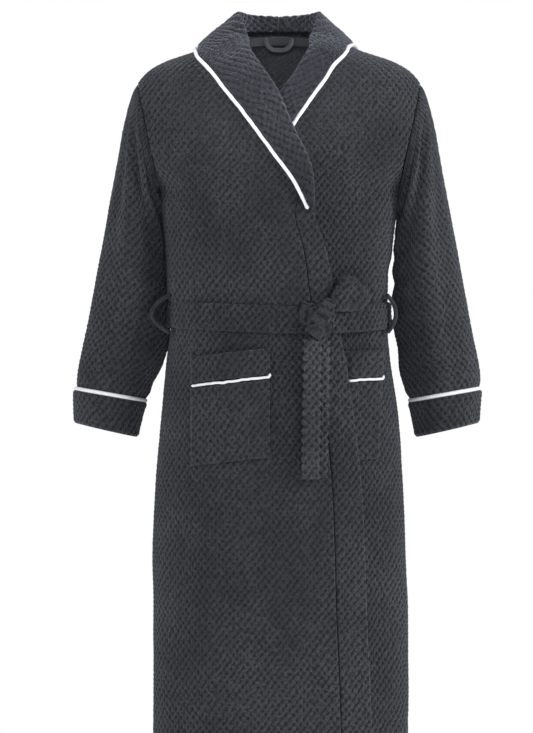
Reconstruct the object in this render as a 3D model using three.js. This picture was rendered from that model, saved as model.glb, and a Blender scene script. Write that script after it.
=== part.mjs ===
// A long waffle-fleece bathrobe with a shawl collar, worn closed on a body form.
// Millimetres, +Z up. The wearer faces -Y, so the wearer's left is +X.
// The origin is the centre of the neck opening, level with the side neck points.
import * as THREE from "three";

// ---- Driving dimensions ----
const robeDrop = 1206; // side neck point down to the hem
const backNeckRise = 10; // the centre back neck seam above the side neck points
const shoulderTip = { x: 244, z: -80 }; // where the shoulder seam ends at the armhole
const armpit = { x: 207, z: -264 };
const sectionPower = 2.3; // roundness of the body's cross-section, 2 is an ellipse
const clothThickness = 5;
const collarThickness = 6;
const collarGap = 3.3; // clearance below the collar, which spans the shoulder's curve
const layerGap = 1.5; // clearance between cloth layers that lie on each other
const seamGap = 0.6; // clearance between pieces sewn edge to edge
const edgeInset = 9; // front panel edge inside the rolled front edge
const waistZ = -480;
const beltWidth = 47;
const beltThickness = 6;
const beltLoop = { angle: 1.24, standOff: 36, width: 9, length: 76, thickness: 3.5 };
const tailLength = 238;
const tailWidth = 30;
const tailThickness = 5;
const knot = { x: 72, drop: 9, width: 50, depth: 36, height: 66 };
const bow = { width: 70, height: 42, thickness: 16 };
const bandWidth = 46; // the band down each front edge, at the hem
const pipingRadius = 3.2;
// How deep the under front lies below the top front: room for the top front and the under collar's piping.
const wrapTuck = clothThickness + layerGap + pipingRadius + collarThickness / 2 + collarGap;
const cuffThickness = 5.5;
const pocketHeight = 187;
const pocketBandHeight = 50;
const pocketSlope = Math.tan(THREE.MathUtils.degToRad(6.6));
const hangerLoop = { width: 48, drop: 24, strap: 9, thickness: 3 };
const neckTapeHeight = 14;
const neckTapeThickness = 1.5;

// Heights and half measures of the body's cross-section, top to bottom.
const halfWidth = smoothThrough([
  [0, 88], [-22, 137], [-43, 198], [-60, 227], [shoulderTip.z, shoulderTip.x], [-120, 264],
  [-172, 272], [-220, 250], [armpit.z, armpit.x], [-290, 199], [-330, 193], [-380, 188],
  [waistZ, 186], [-546, 191], [-660, 205], [-800, 215], [-1000, 219], [-robeDrop, 221],
]);
const frontDepth = smoothThrough([
  [0, 62], [-22, 78], [-52, 94], [-80, 104], [-172, 118], [-264, 124],
  [waistZ, 120], [-800, 126], [-robeDrop, 128],
]);
const backDepth = smoothThrough([
  [0, 58], [-22, 80], [-52, 100], [-80, 110], [-172, 122], [-370, 116],
  [waistZ, 110], [-627, 122], [-robeDrop, 132],
]);

// How far the top front's free edge passes the centre line, from the neck to the hem.
const frontEdgeX = smoothThrough([
  [0, -84], [-20, -60], [-34, -45], [-67, -24], [-91, -7], [-158, 22], [-191, 40], [-229, 54], [-309, 61],
  [-371, 81], [waistZ, 100], [-627, 126], [-788, 144], [-1000, 153], [-robeDrop, 162],
]);
const lapelTip = { x: 59, z: -304 };

// ---- Helpers ----

// A function through [height, value] pairs, given top to bottom, that doesn't overshoot them.
function smoothThrough(pairs) {
  const points = [...pairs].reverse();
  const slope = points.slice(1).map(([z, v], i) => (v - points[i][1]) / (z - points[i][0]));
  const tangent = points.map((_, i) => {
    const before = slope[i - 1] ?? slope[i];
    const after = slope[i] ?? before;
    return before * after <= 0 ? 0 : (2 * before * after) / (before + after);
  });
  return (height) => {
    const z = THREE.MathUtils.clamp(height, points[0][0], points.at(-1)[0]);
    const i = Math.max(0, points.findIndex((p) => p[0] >= z) - 1);
    const [z0, v0] = points[i];
    const [z1, v1] = points[i + 1];
    const span = z1 - z0;
    const t = (z - z0) / span;
    const rise = t * t * (3 - 2 * t);
    const start = t * (1 - t) ** 2 * span * tangent[i];
    const end = t * t * (t - 1) * span * tangent[i + 1];
    return v0 + (v1 - v0) * rise + start + end;
  };
}

const lerp = THREE.MathUtils.lerp;
const steps = (count) => Array.from({ length: count + 1 }, (_, i) => i / count);
const vec = (x, y, z) => new THREE.Vector3(x, y, z);
const curveThrough = (points) => new THREE.CatmullRomCurve3(points, false, "centripetal");
const signedPower = (value, power) => Math.sign(value) * Math.abs(value) ** power;

// A point of the body's outer surface. The angle is 0 at the centre front and 90 degrees at the
// wearer's left.
function bodySurface(angle, z) {
  const power = 2 / sectionPower;
  const ahead = Math.cos(angle);
  const depth = ahead > 0 ? frontDepth(z) : backDepth(z);
  return vec(halfWidth(z) * signedPower(Math.sin(angle), power), -depth * signedPower(ahead, power), z);
}

function bodyNormal(angle, z) {
  const turn = 0.02;
  const drop = 2;
  const below = Math.max(z - drop, -robeDrop);
  const above = Math.min(below + 2 * drop, 0);
  const across = bodySurface(angle + turn, z).sub(bodySurface(angle - turn, z));
  const down = bodySurface(angle, below).sub(bodySurface(angle, above));
  return down.cross(across).normalize();
}

const onBody = (angle, z, lift) => bodySurface(angle, z).addScaledVector(bodyNormal(angle, z), lift);

// The angle at which the body's surface has this x, on the front.
function angleAt(x, z) {
  const share = THREE.MathUtils.clamp(x / halfWidth(z), -1, 1);
  return Math.asin(signedPower(share, sectionPower / 2));
}

// Side +1 is the wearer's left front, which lies under the other one near its free edge.
const edgeX = (side, z) => -side * frontEdgeX(z);
function frontBase(side, angle, z) {
  if (side < 0) return 0;
  const start = angleAt(frontEdgeX(z), z) + 0.06;
  const rampWidth = Math.min(0.8, Math.PI / 2 - start);
  return -wrapTuck * (1 - THREE.MathUtils.smoothstep((angle - start) / rampWidth, 0, 1));
}
function onFront(side, x, z, lift = 0) {
  const angle = angleAt(x, z);
  return onBody(angle, z, frontBase(side, angle, z) + lift);
}

// The armhole lies in a plane through the shoulder tip and the armpit.
const armholeX = (z) => lerp(shoulderTip.x, armpit.x, (z - shoulderTip.z) / (armpit.z - shoulderTip.z));
const inArmhole = (z) => z < shoulderTip.z && z > armpit.z;
const sideAngle = (z) => (inArmhole(z) ? angleAt(armholeX(z), z) : Math.PI / 2);

// A closed mesh from two equal grids of points, its outer and its inner face.
// Rows run down and columns run counter-clockwise seen from above, so that the outer face looks out.
function closedShell(outer, inner, around) {
  const rows = outer.length;
  const columns = outer[0].length;
  const positions = [...outer.flat(), ...inner.flat()].flatMap((p) => p.toArray());
  const at = (face, i, j) => face * rows * columns + i * columns + (j % columns);
  const index = [];
  const quad = (a, b, c, d) => index.push(a, b, c, a, c, d);
  const columnQuads = around ? columns : columns - 1;
  for (let i = 0; i < rows - 1; i++) {
    for (let j = 0; j < columnQuads; j++) {
      quad(at(0, i, j), at(0, i + 1, j), at(0, i + 1, j + 1), at(0, i, j + 1));
      quad(at(1, i, j), at(1, i, j + 1), at(1, i + 1, j + 1), at(1, i + 1, j));
    }
  }
  const lastRow = rows - 1;
  const lastColumn = columns - 1;
  for (let j = 0; j < columnQuads; j++) {
    quad(at(0, 0, j + 1), at(1, 0, j + 1), at(1, 0, j), at(0, 0, j));
    quad(at(0, lastRow, j), at(1, lastRow, j), at(1, lastRow, j + 1), at(0, lastRow, j + 1));
  }
  for (let i = 0; i < rows - 1 && !around; i++) {
    quad(at(0, i, 0), at(1, i, 0), at(1, i + 1, 0), at(0, i + 1, 0));
    quad(at(0, i + 1, lastColumn), at(1, i + 1, lastColumn), at(1, i, lastColumn), at(0, i, lastColumn));
  }
  const geometry = new THREE.BufferGeometry();
  geometry.setAttribute("position", new THREE.Float32BufferAttribute(positions, 3));
  geometry.setIndex(index);
  geometry.computeVertexNormals();
  return geometry;
}

// The grid moved along its own normals.
function offsetGrid(grid, distance, around = false) {
  const rows = grid.length;
  const columns = grid[0].length;
  const column = (j) => (around ? (j + columns) % columns : THREE.MathUtils.clamp(j, 0, columns - 1));
  return grid.map((row, i) =>
    row.map((point, j) => {
      const down = grid[Math.min(i + 1, rows - 1)][j].clone().sub(grid[Math.max(i - 1, 0)][j]);
      const across = row[column(j + 1)].clone().sub(row[column(j - 1)]);
      return point.clone().addScaledVector(down.cross(across).normalize(), distance);
    }),
  );
}

// A sheet of cloth from its outer face, and `keep` to hold every point on its own side of a seam.
function clothSheet(grid, thickness, keep = (p) => p, around = false) {
  const inner = offsetGrid(grid, -thickness, around);
  const kept = (face) => face.map((row) => row.map(keep));
  return closedShell(kept(grid), kept(inner), around);
}

// ---- Materials ----
const fleece = new THREE.MeshStandardMaterial({ color: 0x35373b, roughness: 0.95, metalness: 0 });
const fleeceLight = new THREE.MeshStandardMaterial({ color: 0x3c3e43, roughness: 0.95, metalness: 0 });
const satin = new THREE.MeshStandardMaterial({ color: 0xe9e8f0, roughness: 0.45, metalness: 0 });
const tape = new THREE.MeshStandardMaterial({ color: 0x2c2e32, roughness: 0.85, metalness: 0 });

const robe = new THREE.Group();
function add(name, geometry, material = fleece) {
  const mesh = new THREE.Mesh(geometry, material);
  mesh.name = name;
  robe.add(mesh);
}

// ---- Back and front panels ----

// The band down the front starts as a point under the collar.
const bandTopZ = lapelTip.z + 40;

// Heights of the grid rows: every level where something starts or ends, and even steps between them.
function bodyRows(top) {
  const belt = [waistZ + beltWidth / 2, waistZ - beltWidth / 2];
  const starts = [top, shoulderTip.z, armpit.z, bandTopZ, lapelTip.z, ...belt, -robeDrop];
  const levels = starts.filter((z) => z <= top).sort((a, b) => b - a);
  const apart = levels.filter((z, i) => i === 0 || levels[i - 1] - z > 3);
  return apart.flatMap((z, i) => {
    if (i === 0) return [z];
    const spacing = z > armpit.z - 1 ? 22 : 75;
    const count = Math.ceil((apart[i - 1] - z) / spacing);
    return steps(count).slice(1).map((t) => lerp(apart[i - 1], z, t));
  });
}

// Holds a body panel's points on its own side of the side seam and inside the armhole.
const behindSeam = (facing) => (point) => {
  const wall = inArmhole(point.z) ? armholeX(point.z) - seamGap / 2 : Infinity;
  const x = Math.min(Math.abs(point.x), wall);
  const y = facing * Math.max(facing * point.y, seamGap / 2);
  return vec(Math.sign(point.x) * x, y, point.z);
};

function backPanel() {
  const neckDrop = 4; // the first row lies this far below the neck seam
  const columns = steps(18);
  const grid = bodyRows(-neckDrop).map((z, i) => {
    const side = sideAngle(z);
    const row = columns.map((u) => onBody(Math.PI + lerp(-side, side, u), z, 0));
    const rise = i === 0 ? backNeckRise : 0;
    row.forEach((point) => (point.z += rise * Math.max(0, point.y / backDepth(z))));
    return row;
  });
  return clothSheet(grid, clothThickness, behindSeam(1));
}

const bandWidthAt = smoothThrough([
  [bandTopZ, 6], [lapelTip.z, 24], [waistZ, 34], [-700, 42], [-robeDrop, bandWidth],
]);
const panelEdgeX = (side, z) => {
  const inward = edgeInset + (z <= bandTopZ ? bandWidthAt(z) + seamGap : 0);
  return edgeX(side, z) + side * inward;
};

function frontPanel(side) {
  const neckDrop = 6;
  const columns = steps(9);
  const grid = bodyRows(-neckDrop).map((z) => {
    const edge = angleAt(panelEdgeX(side, z), z);
    const [from, to] = side > 0 ? [edge, sideAngle(z)] : [-sideAngle(z), edge];
    return columns.map((u) => {
      const angle = lerp(from, to, u);
      return onBody(angle, z, frontBase(side, angle, z));
    });
  });
  return clothSheet(grid, clothThickness, behindSeam(-1));
}

function frontBand(side) {
  const columns = steps(2);
  const grid = bodyRows(bandTopZ).map((z) => {
    const rim = edgeX(side, z) + side * (z < lapelTip.z ? 0 : edgeInset);
    const seam = edgeX(side, z) + side * (edgeInset + bandWidthAt(z) - seamGap);
    const [from, to] = side > 0 ? [rim, seam] : [seam, rim];
    return columns.map((u) => onFront(side, lerp(from, to, u), z));
  });
  return clothSheet(grid, clothThickness);
}

// ---- Collar ----

// Moves a point out, level by level, until it is this far outside the body.
function clearOfBody(side, point, distance) {
  if (point.z > 0) return point;
  const across = Math.abs(point.x / halfWidth(point.z)) ** sectionPower;
  const depth = point.y < 0 ? frontDepth(point.z) : backDepth(point.z);
  const along = Math.abs(point.y / depth) ** sectionPower;
  const share = (across + along) ** (1 / sectionPower);
  const angle = Math.atan2(Math.sqrt(across) * Math.sign(point.x), Math.sqrt(along) * -Math.sign(point.y));
  const normal = bodyNormal(angle, point.z);
  const base = point.y < 0 ? frontBase(side, angle, point.z) : 0;
  const outside = (distance + base) / Math.max(0.3, Math.hypot(normal.x, normal.y));
  const radius = Math.hypot(point.x, point.y);
  const wanted = radius / share + outside;
  const push = Math.max(1, wanted / radius);
  return vec(point.x * push, point.y * push, point.z);
}

// The free edge of each collar half round the neck, as body angle in degrees and height, from the
// centre back over the shoulder to the chest, then as x and height down to the lapel tip.
const collarEdge = {
  right: {
    neck: [[180, -46], [150, -44], [120, -36], [93, -22], [67, -26], [41, -41]],
    front: [[111, -64], [82, -101], [51, -140], [10, -197], [-28, -249], [-lapelTip.x + 4, lapelTip.z]],
  },
  left: {
    neck: [[180, -46], [150, -43], [120, -34], [93, -19], [57, -21], [38, -34]],
    front: [[91, -49], [72, -77], [46, -113], [10, -167], [-32, -236], [-lapelTip.x + 4, lapelTip.z]],
  },
};
const rollHeights = [-30, -62, -100, -160, -228, lapelTip.z + 8];

// Guide curves of one collar half from the centre back to the lapel tip: the neck seam, the roll line,
// the middle of the fall and the free edge.
function collarGuides(side) {
  const { neck, front } = collarEdge[side < 0 ? "right" : "left"];
  const mirrored = ([x, y, z]) => vec(side * x, y, z);
  const lift = collarGap + collarThickness / 2;
  const wide = side < 0 ? 4 : 0;
  const centre = seamGap / 2;
  const seam = [[centre, 56, 13], [30, 52, 13], [58, 35, 12], [72, 12, 10], [72, -14, 4]].map(mirrored);
  const roll = [[centre, 55, 38], [32, 49, 39], [57, 33, 41]].map(mirrored);
  roll.push(...[[68, 8, 42], [66, -20, 28], [55, -44, 0]].map(mirrored));
  const fall = [[centre, 81, 12], [48, 74, 13], [80, 50, 17]].map(mirrored);
  fall.push(...[[94 + wide, 12, 21], [92 + wide, -26, 9], [84 + wide, -56, -14]].map(mirrored));
  const edge = neck.map(([degrees, z]) => onBody(side * THREE.MathUtils.degToRad(degrees), z, lift));
  seam.push(onFront(side, edgeX(side, -14), -14, -clothThickness / 2));
  rollHeights.forEach((z, i) => {
    const x = edgeX(side, z);
    const farX = side * front[i][0];
    const farZ = front[i][1];
    const puff = side < 0 || z > -90 ? 2 : -1;
    seam.push(onFront(side, x, z, -clothThickness / 2));
    roll.push(onFront(side, x + side * 3, z, lift));
    fall.push(onFront(side, (x + farX) / 2, (z + farZ) / 2, lift + puff));
    edge.push(onFront(side, farX, farZ, lift));
  });
  return [seam, roll, fall, edge].map(curveThrough);
}

// The collar's middle surface, from its neck seam (v = 0) over the roll line to its free edge (v = 1).
function collarSection(side, guides, u) {
  const section = curveThrough(guides.map((guide) => guide.getPoint(u)));
  const ease = (v) => THREE.MathUtils.smoothstep(v, 0.35, 0.6);
  return (v) => {
    const point = section.getPoint(v);
    return point.lerp(clearOfBody(side, point, collarGap + collarThickness / 2), ease(v));
  };
}

// Holds a collar half on its own side of the centre back seam, behind the neck.
const besideCentre = (side) => (point) =>
  point.y > 0 ? vec(side * Math.max(side * point.x, seamGap / 2), point.y, point.z) : point;

function collarHalf(side) {
  const guides = collarGuides(side);
  const middle = steps(21).map((u) => {
    const at = collarSection(side, guides, u);
    const row = steps(8).map(at);
    return side < 0 ? row : row.reverse();
  });
  return clothSheet(offsetGrid(middle, collarThickness / 2), collarThickness, besideCentre(side));
}

// ---- Piping ----
function cord(points, radius = pipingRadius, sides = 6) {
  const path = curveThrough(points);
  const section = new THREE.Shape(
    steps(sides).slice(0, -1).map((t) => {
      const angle = 2 * Math.PI * t;
      return new THREE.Vector2(radius * Math.cos(angle), radius * Math.sin(angle));
    }),
  );
  const options = { steps: 2 * points.length, extrudePath: path, bevelEnabled: false };
  return new THREE.ExtrudeGeometry(section, options);
}

// The collar's piping follows its free edge, a clearance outside it.
function collarPiping(side) {
  const guides = collarGuides(side);
  const reach = pipingRadius + 2 * layerGap;
  return cord(
    steps(22).map((t) => {
      const at = collarSection(side, guides, lerp(0.015, 0.985, t));
      const end = at(1);
      const outward = end.clone().sub(at(0.93)).normalize();
      return clearOfBody(side, end.addScaledVector(outward, reach), pipingRadius + layerGap / 2);
    }),
  );
}

// ---- Sleeves and cuffs ----

// The sleeve's outer and inner lines in the XZ plane, from the armhole down to the hand.
const sleeveOuter = [
  [shoulderTip.x, shoulderTip.z], [257, -108], [268, -151], [277, -203], [291, -281], [309, -385],
  [327, -489], [345, -585], [343, -612], [340, -668],
];
const sleeveInner = [
  [armpit.x, armpit.z], [206, -276], [205, -292], [203, -312], [200, -345], [198, -410],
  [200, -492], [216, -606], [229, -632], [242, -690],
];
const sleeveDepth = [75, 79, 80, 79, 76, 72, 67, 61, 58, 54];
const sleeveSetBack = 18; // the hanging sleeve lies this far behind the shoulder
const sleeveSwing = { right: 9, left: 1 }; // how far each cuff hangs out to its side
const cuffStart = 0.885; // the cuff's top edge, as a share of the sleeve's rows

function sleevePoint(side, v, angle, lift = 0) {
  const line = (pairs) => curveThrough(pairs.map(([x, z]) => vec(x, 0, z)));
  const outer = line(sleeveOuter).getPoint(v);
  const inner = line(sleeveInner).getPoint(v);
  const depths = new THREE.CatmullRomCurve3(sleeveDepth.map((d) => vec(d, 0, 0)));
  const centre = outer.clone().add(inner).multiplyScalar(0.5);
  const half = outer.clone().sub(inner).multiplyScalar(0.5);
  const stretch = 1 + lift / half.length();
  const tubeDepth = depths.getPoint(v).x + lift;
  const point = centre.clone().addScaledVector(half, Math.cos(angle) * stretch);
  point.y = sleeveSetBack * THREE.MathUtils.smoothstep(v, 0, 0.5) - Math.sin(angle) * tubeDepth;
  const joined = Math.max(0, 1 - v / 0.12);
  if (joined > 0) {
    const level = THREE.MathUtils.clamp(point.z, armpit.z, shoulderTip.z);
    const armholeAngle = sideAngle(level);
    const depth = Math.sin(angle) > 0 ? frontDepth(level) : backDepth(level);
    const armholeDepth = depth * Math.cos(armholeAngle) ** (2 / sectionPower) + lift;
    point.y = lerp(point.y, -Math.sign(Math.sin(angle)) * armholeDepth, joined * joined);
  }
  point.x = side * (point.x + (side < 0 ? sleeveSwing.right : sleeveSwing.left) * v * v);
  return point;
}

// Holds a sleeve's points outside the armhole's plane and the body below it.
const besideArmhole = (side) => (point) => {
  const wall = point.z > armpit.z ? armholeX(point.z) + seamGap / 2 : halfWidth(point.z) + layerGap;
  return vec(side * Math.max(side * point.x, wall), point.y, point.z);
};

function tubeGrid(side, from, to, rows, lift, count = 18) {
  const turns = Array.from({ length: count }, (_, j) => (2 * Math.PI * j) / count);
  const ring = (v) => turns.map((angle) => sleevePoint(side, v, -side * angle, lift));
  return steps(rows).map((t) => ring(lerp(from, to, t)));
}

function sleeve(side) {
  return clothSheet(tubeGrid(side, 0, 0.985, 16, 0), clothThickness, besideArmhole(side), true);
}

function cuff(side) {
  const lift = layerGap + cuffThickness;
  return clothSheet(tubeGrid(side, cuffStart, 1, 4, lift), cuffThickness, (p) => p, true);
}

function cuffPiping(side) {
  const [above, top] = tubeGrid(side, cuffStart - 0.03, cuffStart, 1, layerGap + pipingRadius);
  const rise = pipingRadius + layerGap;
  const ring = top.map((point, j) => point.clone().add(above[j].clone().sub(point).setLength(rise)));
  const path = new THREE.CatmullRomCurve3(ring, true, "centripetal");
  return new THREE.TubeGeometry(path, 36, pipingRadius, 6, true);
}

// ---- Patch pockets ----
const pocketPlace = {
  right: { side: -1, from: -150, to: -16, mouthZ: -545, gapeAt: 0.5, gape: 11 },
  left: { side: 1, from: 45, to: 178, mouthZ: -543, gapeAt: 0.8, gape: 8 },
};

// The slope follows the pull of the wrap: the side nearer the knot sits higher.
function pocketPoint(place, u, down, lift) {
  const x = lerp(place.from, place.to, u);
  const slope = place.side < 0 ? pocketSlope : pocketSlope / 3;
  const rise = slope * (x - (place.from + place.to) / 2);
  const depthShare = 1 - down / pocketHeight;
  const across = Math.cos(Math.PI * THREE.MathUtils.clamp((u - place.gapeAt) / 0.9, -0.5, 0.5));
  const gape = place.gape * across ** 2 * depthShare;
  const reach = place.side > 0 && u < 0.6 ? 0 : gape;
  return onFront(place.side, x, place.mouthZ - down + rise, layerGap + clothThickness + reach + lift);
}

function pocketSheet(place, from, to, rows, columns = 10) {
  const grid = steps(rows).map((t) => steps(columns).map((u) => pocketPoint(place, u, lerp(from, to, t), 0)));
  return clothSheet(grid, clothThickness - 0.5);
}

const pipingSlot = pipingRadius + seamGap; // half the space between the pocket's band and its bag
const pipingSink = 1.6; // the piping's centre below the pocket's face
const pocketBand = (place) => pocketSheet(place, 0, pocketBandHeight - pipingSlot, 3);
const pocketBag = (place) => pocketSheet(place, pocketBandHeight + pipingSlot, pocketHeight, 6);
const pocketPiping = (place) =>
  cord(steps(8).map((u) => pocketPoint(place, lerp(0.01, 0.99, u), pocketBandHeight, -pipingSink)));

// ---- Belt ----
const beltLift = layerGap + beltThickness;
const knotAngle = angleAt(knot.x, waistZ);
const knotY = onFront(-1, knot.x, waistZ).y - layerGap - knot.depth / 2;
const knotZ = waistZ - knot.drop;

function beltWaist() {
  const clear = 0.24;
  const grid = steps(3).map((v) =>
    steps(44).map((u) => {
      const turn = lerp(clear, 2 * Math.PI - clear, u);
      const sag = -knot.drop * Math.exp(-((Math.min(turn, 2 * Math.PI - turn) / 0.9) ** 2));
      const z = waistZ + beltWidth * (0.5 - v) + sag;
      return onBody(knotAngle + turn, z, beltLift);
    }),
  );
  return clothSheet(grid, beltThickness);
}

function beltKnot() {
  const shape = new THREE.SphereGeometry(0.5, 20, 12);
  shape.scale(knot.width, knot.depth, knot.height);
  shape.translate(knot.x, knotY, knotZ);
  shape.deleteAttribute("uv");
  return shape;
}

// The half bow: a fold of the belt that lies like a petal above it, on the wearer's left of the knot.
function beltBow() {
  const petal = new THREE.SphereGeometry(0.5, 16, 10);
  petal.deleteAttribute("uv");
  petal.scale(bow.width, bow.thickness, bow.height);
  const x = knot.x + bow.width * 0.68;
  const z = waistZ + beltWidth / 2 + bow.height / 2 + layerGap;
  petal.translate(x, onFront(-1, knot.x, z).y - layerGap - bow.thickness / 2, z);
  return petal;
}

function beltTail(offset) {
  const topZ = knotZ - knot.height / 2 - 1;
  const length = tailLength - offset.shorter;
  const across = (v) => (u) => vec(offset.x + tailWidth * (u - 0.5), offset.y, topZ - length * v);
  const grid = steps(8).map((v) => steps(4).map(across(v)));
  return clothSheet(grid, tailThickness);
}
const frontTail = { x: knot.x - 15, y: knotY - 7, shorter: 0 };
const backTail = { x: knot.x - 1, y: knotY + 1, shorter: 5 };

// A narrow strap sewn on in front of the side seam, above and below the belt, bowing out round it.
function beltCarrier(side) {
  const { angle, standOff, width, length, thickness } = beltLoop;
  const grid = steps(12).map((v) => {
    const z = waistZ + 2 + length * (0.5 - v);
    const root = bodySurface(angle, z);
    const x = root.x + 2 * layerGap + thickness + standOff * Math.sin(Math.PI * v) ** 0.8;
    return [-1, 1].map((end) => vec(side * x, root.y + (side * end * width) / 2, z));
  });
  return clothSheet(grid, thickness);
}

// ---- Inside the back neck ----
const tapeY = (x) => bodySurface(Math.PI - Math.asin(x / halfWidth(-4)), -4).y - clothThickness - 1;

function neckTape() {
  const reach = 52;
  const grid = steps(2).map((v) =>
    steps(12).map((u) => {
      const x = lerp(reach, -reach, u);
      return vec(x, tapeY(x), 4 - neckTapeHeight * v - 4 * (x / reach) ** 2);
    }),
  );
  return clothSheet(grid, neckTapeThickness);
}

// A U of flat strap that hangs from the tape's middle, with a straight bottom.
function hangerStrap() {
  const half = hangerLoop.width / 2;
  const corner = 9;
  const outline = (inset) => {
    const x = half - inset;
    const bottom = -hangerLoop.drop + inset;
    const r = corner - inset / 2;
    const arc = (cx, from) => steps(4).map((t) => {
      const angle = from + (Math.PI / 2) * t;
      return [cx + r * Math.cos(angle), bottom + r + r * Math.sin(angle)];
    });
    return [[-x, 0], ...arc(-x + r, Math.PI), ...arc(x - r, 1.5 * Math.PI), [x, 0]];
  };
  const corners = [...outline(0), ...outline(hangerLoop.strap).reverse()];
  const shape = new THREE.Shape(corners.map(([x, z]) => new THREE.Vector2(x, z)));
  const strap = new THREE.ExtrudeGeometry(shape, { depth: hangerLoop.thickness, bevelEnabled: false });
  strap.rotateX(Math.PI / 2);
  strap.translate(0, tapeY(half) - neckTapeThickness - layerGap / 2, 2);
  return strap;
}

// ---- The assembly ----
add("back_panel", backPanel());
for (const [name, side] of [["right", -1], ["left", 1]]) {
  add(`front_panel_${name}`, frontPanel(side));
  add(`front_band_${name}`, frontBand(side), fleeceLight);
  add(`collar_${name}`, collarHalf(side), fleeceLight);
  add(`collar_piping_${name}`, collarPiping(side), satin);
  add(`sleeve_${name}`, sleeve(side));
  add(`cuff_${name}`, cuff(side), fleeceLight);
  add(`cuff_piping_${name}`, cuffPiping(side), satin);
  add(`pocket_${name}`, pocketBag(pocketPlace[name]));
  add(`pocket_band_${name}`, pocketBand(pocketPlace[name]), fleeceLight);
  add(`pocket_piping_${name}`, pocketPiping(pocketPlace[name]), satin);
  add(`belt_loop_${name}`, beltCarrier(side));
}
add("belt_waist", beltWaist(), fleeceLight);
add("belt_knot", beltKnot(), fleeceLight);
add("belt_bow", beltBow(), fleeceLight);
add("belt_tail_front", beltTail(frontTail), fleeceLight);
add("belt_tail_back", beltTail(backTail), fleeceLight);
add("neck_tape", neckTape(), tape);
add("hanger_loop", hangerStrap(), tape);

export default robe;
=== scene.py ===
"""The looks of a waffle-fleece bathrobe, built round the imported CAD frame.

Shapes are worked out in millimetres in the row frame and written in metres. Each cloth piece is a grid
locked to the fleece's lattice, so that its raised nubs are real geometry.
"""

import math

import bmesh
import bpy
import numpy as np
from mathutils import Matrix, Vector


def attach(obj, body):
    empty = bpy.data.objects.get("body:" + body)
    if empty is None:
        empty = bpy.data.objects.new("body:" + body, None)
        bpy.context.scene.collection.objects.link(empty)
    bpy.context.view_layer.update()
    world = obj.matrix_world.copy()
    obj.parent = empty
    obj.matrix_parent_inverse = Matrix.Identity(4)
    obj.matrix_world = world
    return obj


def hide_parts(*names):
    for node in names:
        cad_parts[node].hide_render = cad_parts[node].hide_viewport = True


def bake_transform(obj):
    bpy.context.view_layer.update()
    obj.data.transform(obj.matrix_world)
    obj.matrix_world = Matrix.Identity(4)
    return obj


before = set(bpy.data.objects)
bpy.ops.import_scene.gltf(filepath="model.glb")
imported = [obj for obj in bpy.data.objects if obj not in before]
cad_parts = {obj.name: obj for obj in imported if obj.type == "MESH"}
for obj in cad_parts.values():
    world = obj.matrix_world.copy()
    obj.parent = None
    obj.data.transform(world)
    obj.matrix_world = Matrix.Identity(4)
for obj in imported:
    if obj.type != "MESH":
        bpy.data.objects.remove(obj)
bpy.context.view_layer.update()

# ---- Sizes, as in the CAD part ----
ROBE_DROP = 1206
BACK_NECK_RISE = 10
SHOULDER_TIP = (244, -80)
ARMPIT = (207, -264)
SECTION_POWER = 2.3
CLOTH = 5.0
COLLAR = 6.0
COLLAR_GAP = 3.3
LAYER_GAP = 1.5
SEAM_GAP = 0.6
SEAM_TUCK = 1.2  # how far each panel runs under its neighbour at a seam
WRAP_TUCK = 16
EDGE_INSET = 9
WAIST_Z = -480
BELT_WIDTH = 47
BELT_THICKNESS = 6
KNOT = {"x": 72, "drop": 9, "depth": 36, "height": 66}
PIPING_RADIUS = 3.2
LAPEL_TIP = (59, -304)
BAND_TOP_Z = LAPEL_TIP[1] + 40
CUFF = 5.5
POCKET_HEIGHT = 187
POCKET_BAND = 50
TAIL_LENGTH = 238
TAIL_WIDTH = 30

# ---- The fleece's lattice ----
NUB_ACROSS = 12.0  # from one nub to the next in a row
NUB_DOWN = 15.6  # two rows of nubs, the second one shifted by half
STEP_S = NUB_ACROSS / 4
STEP_T = NUB_DOWN / 4
RIDGE_SHARE = 0.62  # how much of the relief joins the nubs along one diagonal, the rest along the other
FLEECE_RELIEF = 1.3  # how far a nub rises
FADE = (0.5, 5)  # the nubs start this far from a sheet's edge, and are full at this
OUTER_MASK, INNER_MASK, NO_NUBS = 1.0, 0.4, 0.0  # how strongly the nubs' bump and the pits' painted shade show on a face

# ---- Tables ----
LAST_CELL = 1.001  # taken off a table's length, it keeps a reading inside the last cell
DROP_LINE = 0.7  # the angle round the body of the line along which cloth heights are measured


def smooth_through(pairs):
    """A function through [height, value] pairs that doesn't overshoot them."""
    z, v = np.array(sorted(pairs), float).T
    slope = np.diff(v) / np.diff(z)
    before, after = np.r_[slope[:1], slope], np.r_[slope, slope[-1:]]
    total = np.where(before * after > 0, before + after, 1)
    tangent = np.where(before * after > 0, 2 * before * after / total, 0)

    def at(height):
        h = np.clip(height, z[0], z[-1])
        i = np.clip(np.searchsorted(z, h) - 1, 0, len(z) - 2)
        span = z[i + 1] - z[i]
        t = (h - z[i]) / span
        rise = t * t * (3 - 2 * t)
        start = t * (1 - t) ** 2 * span * tangent[i]
        end = t * t * (t - 1) * span * tangent[i + 1]
        return v[i] + (v[i + 1] - v[i]) * rise + start + end

    return at


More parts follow.
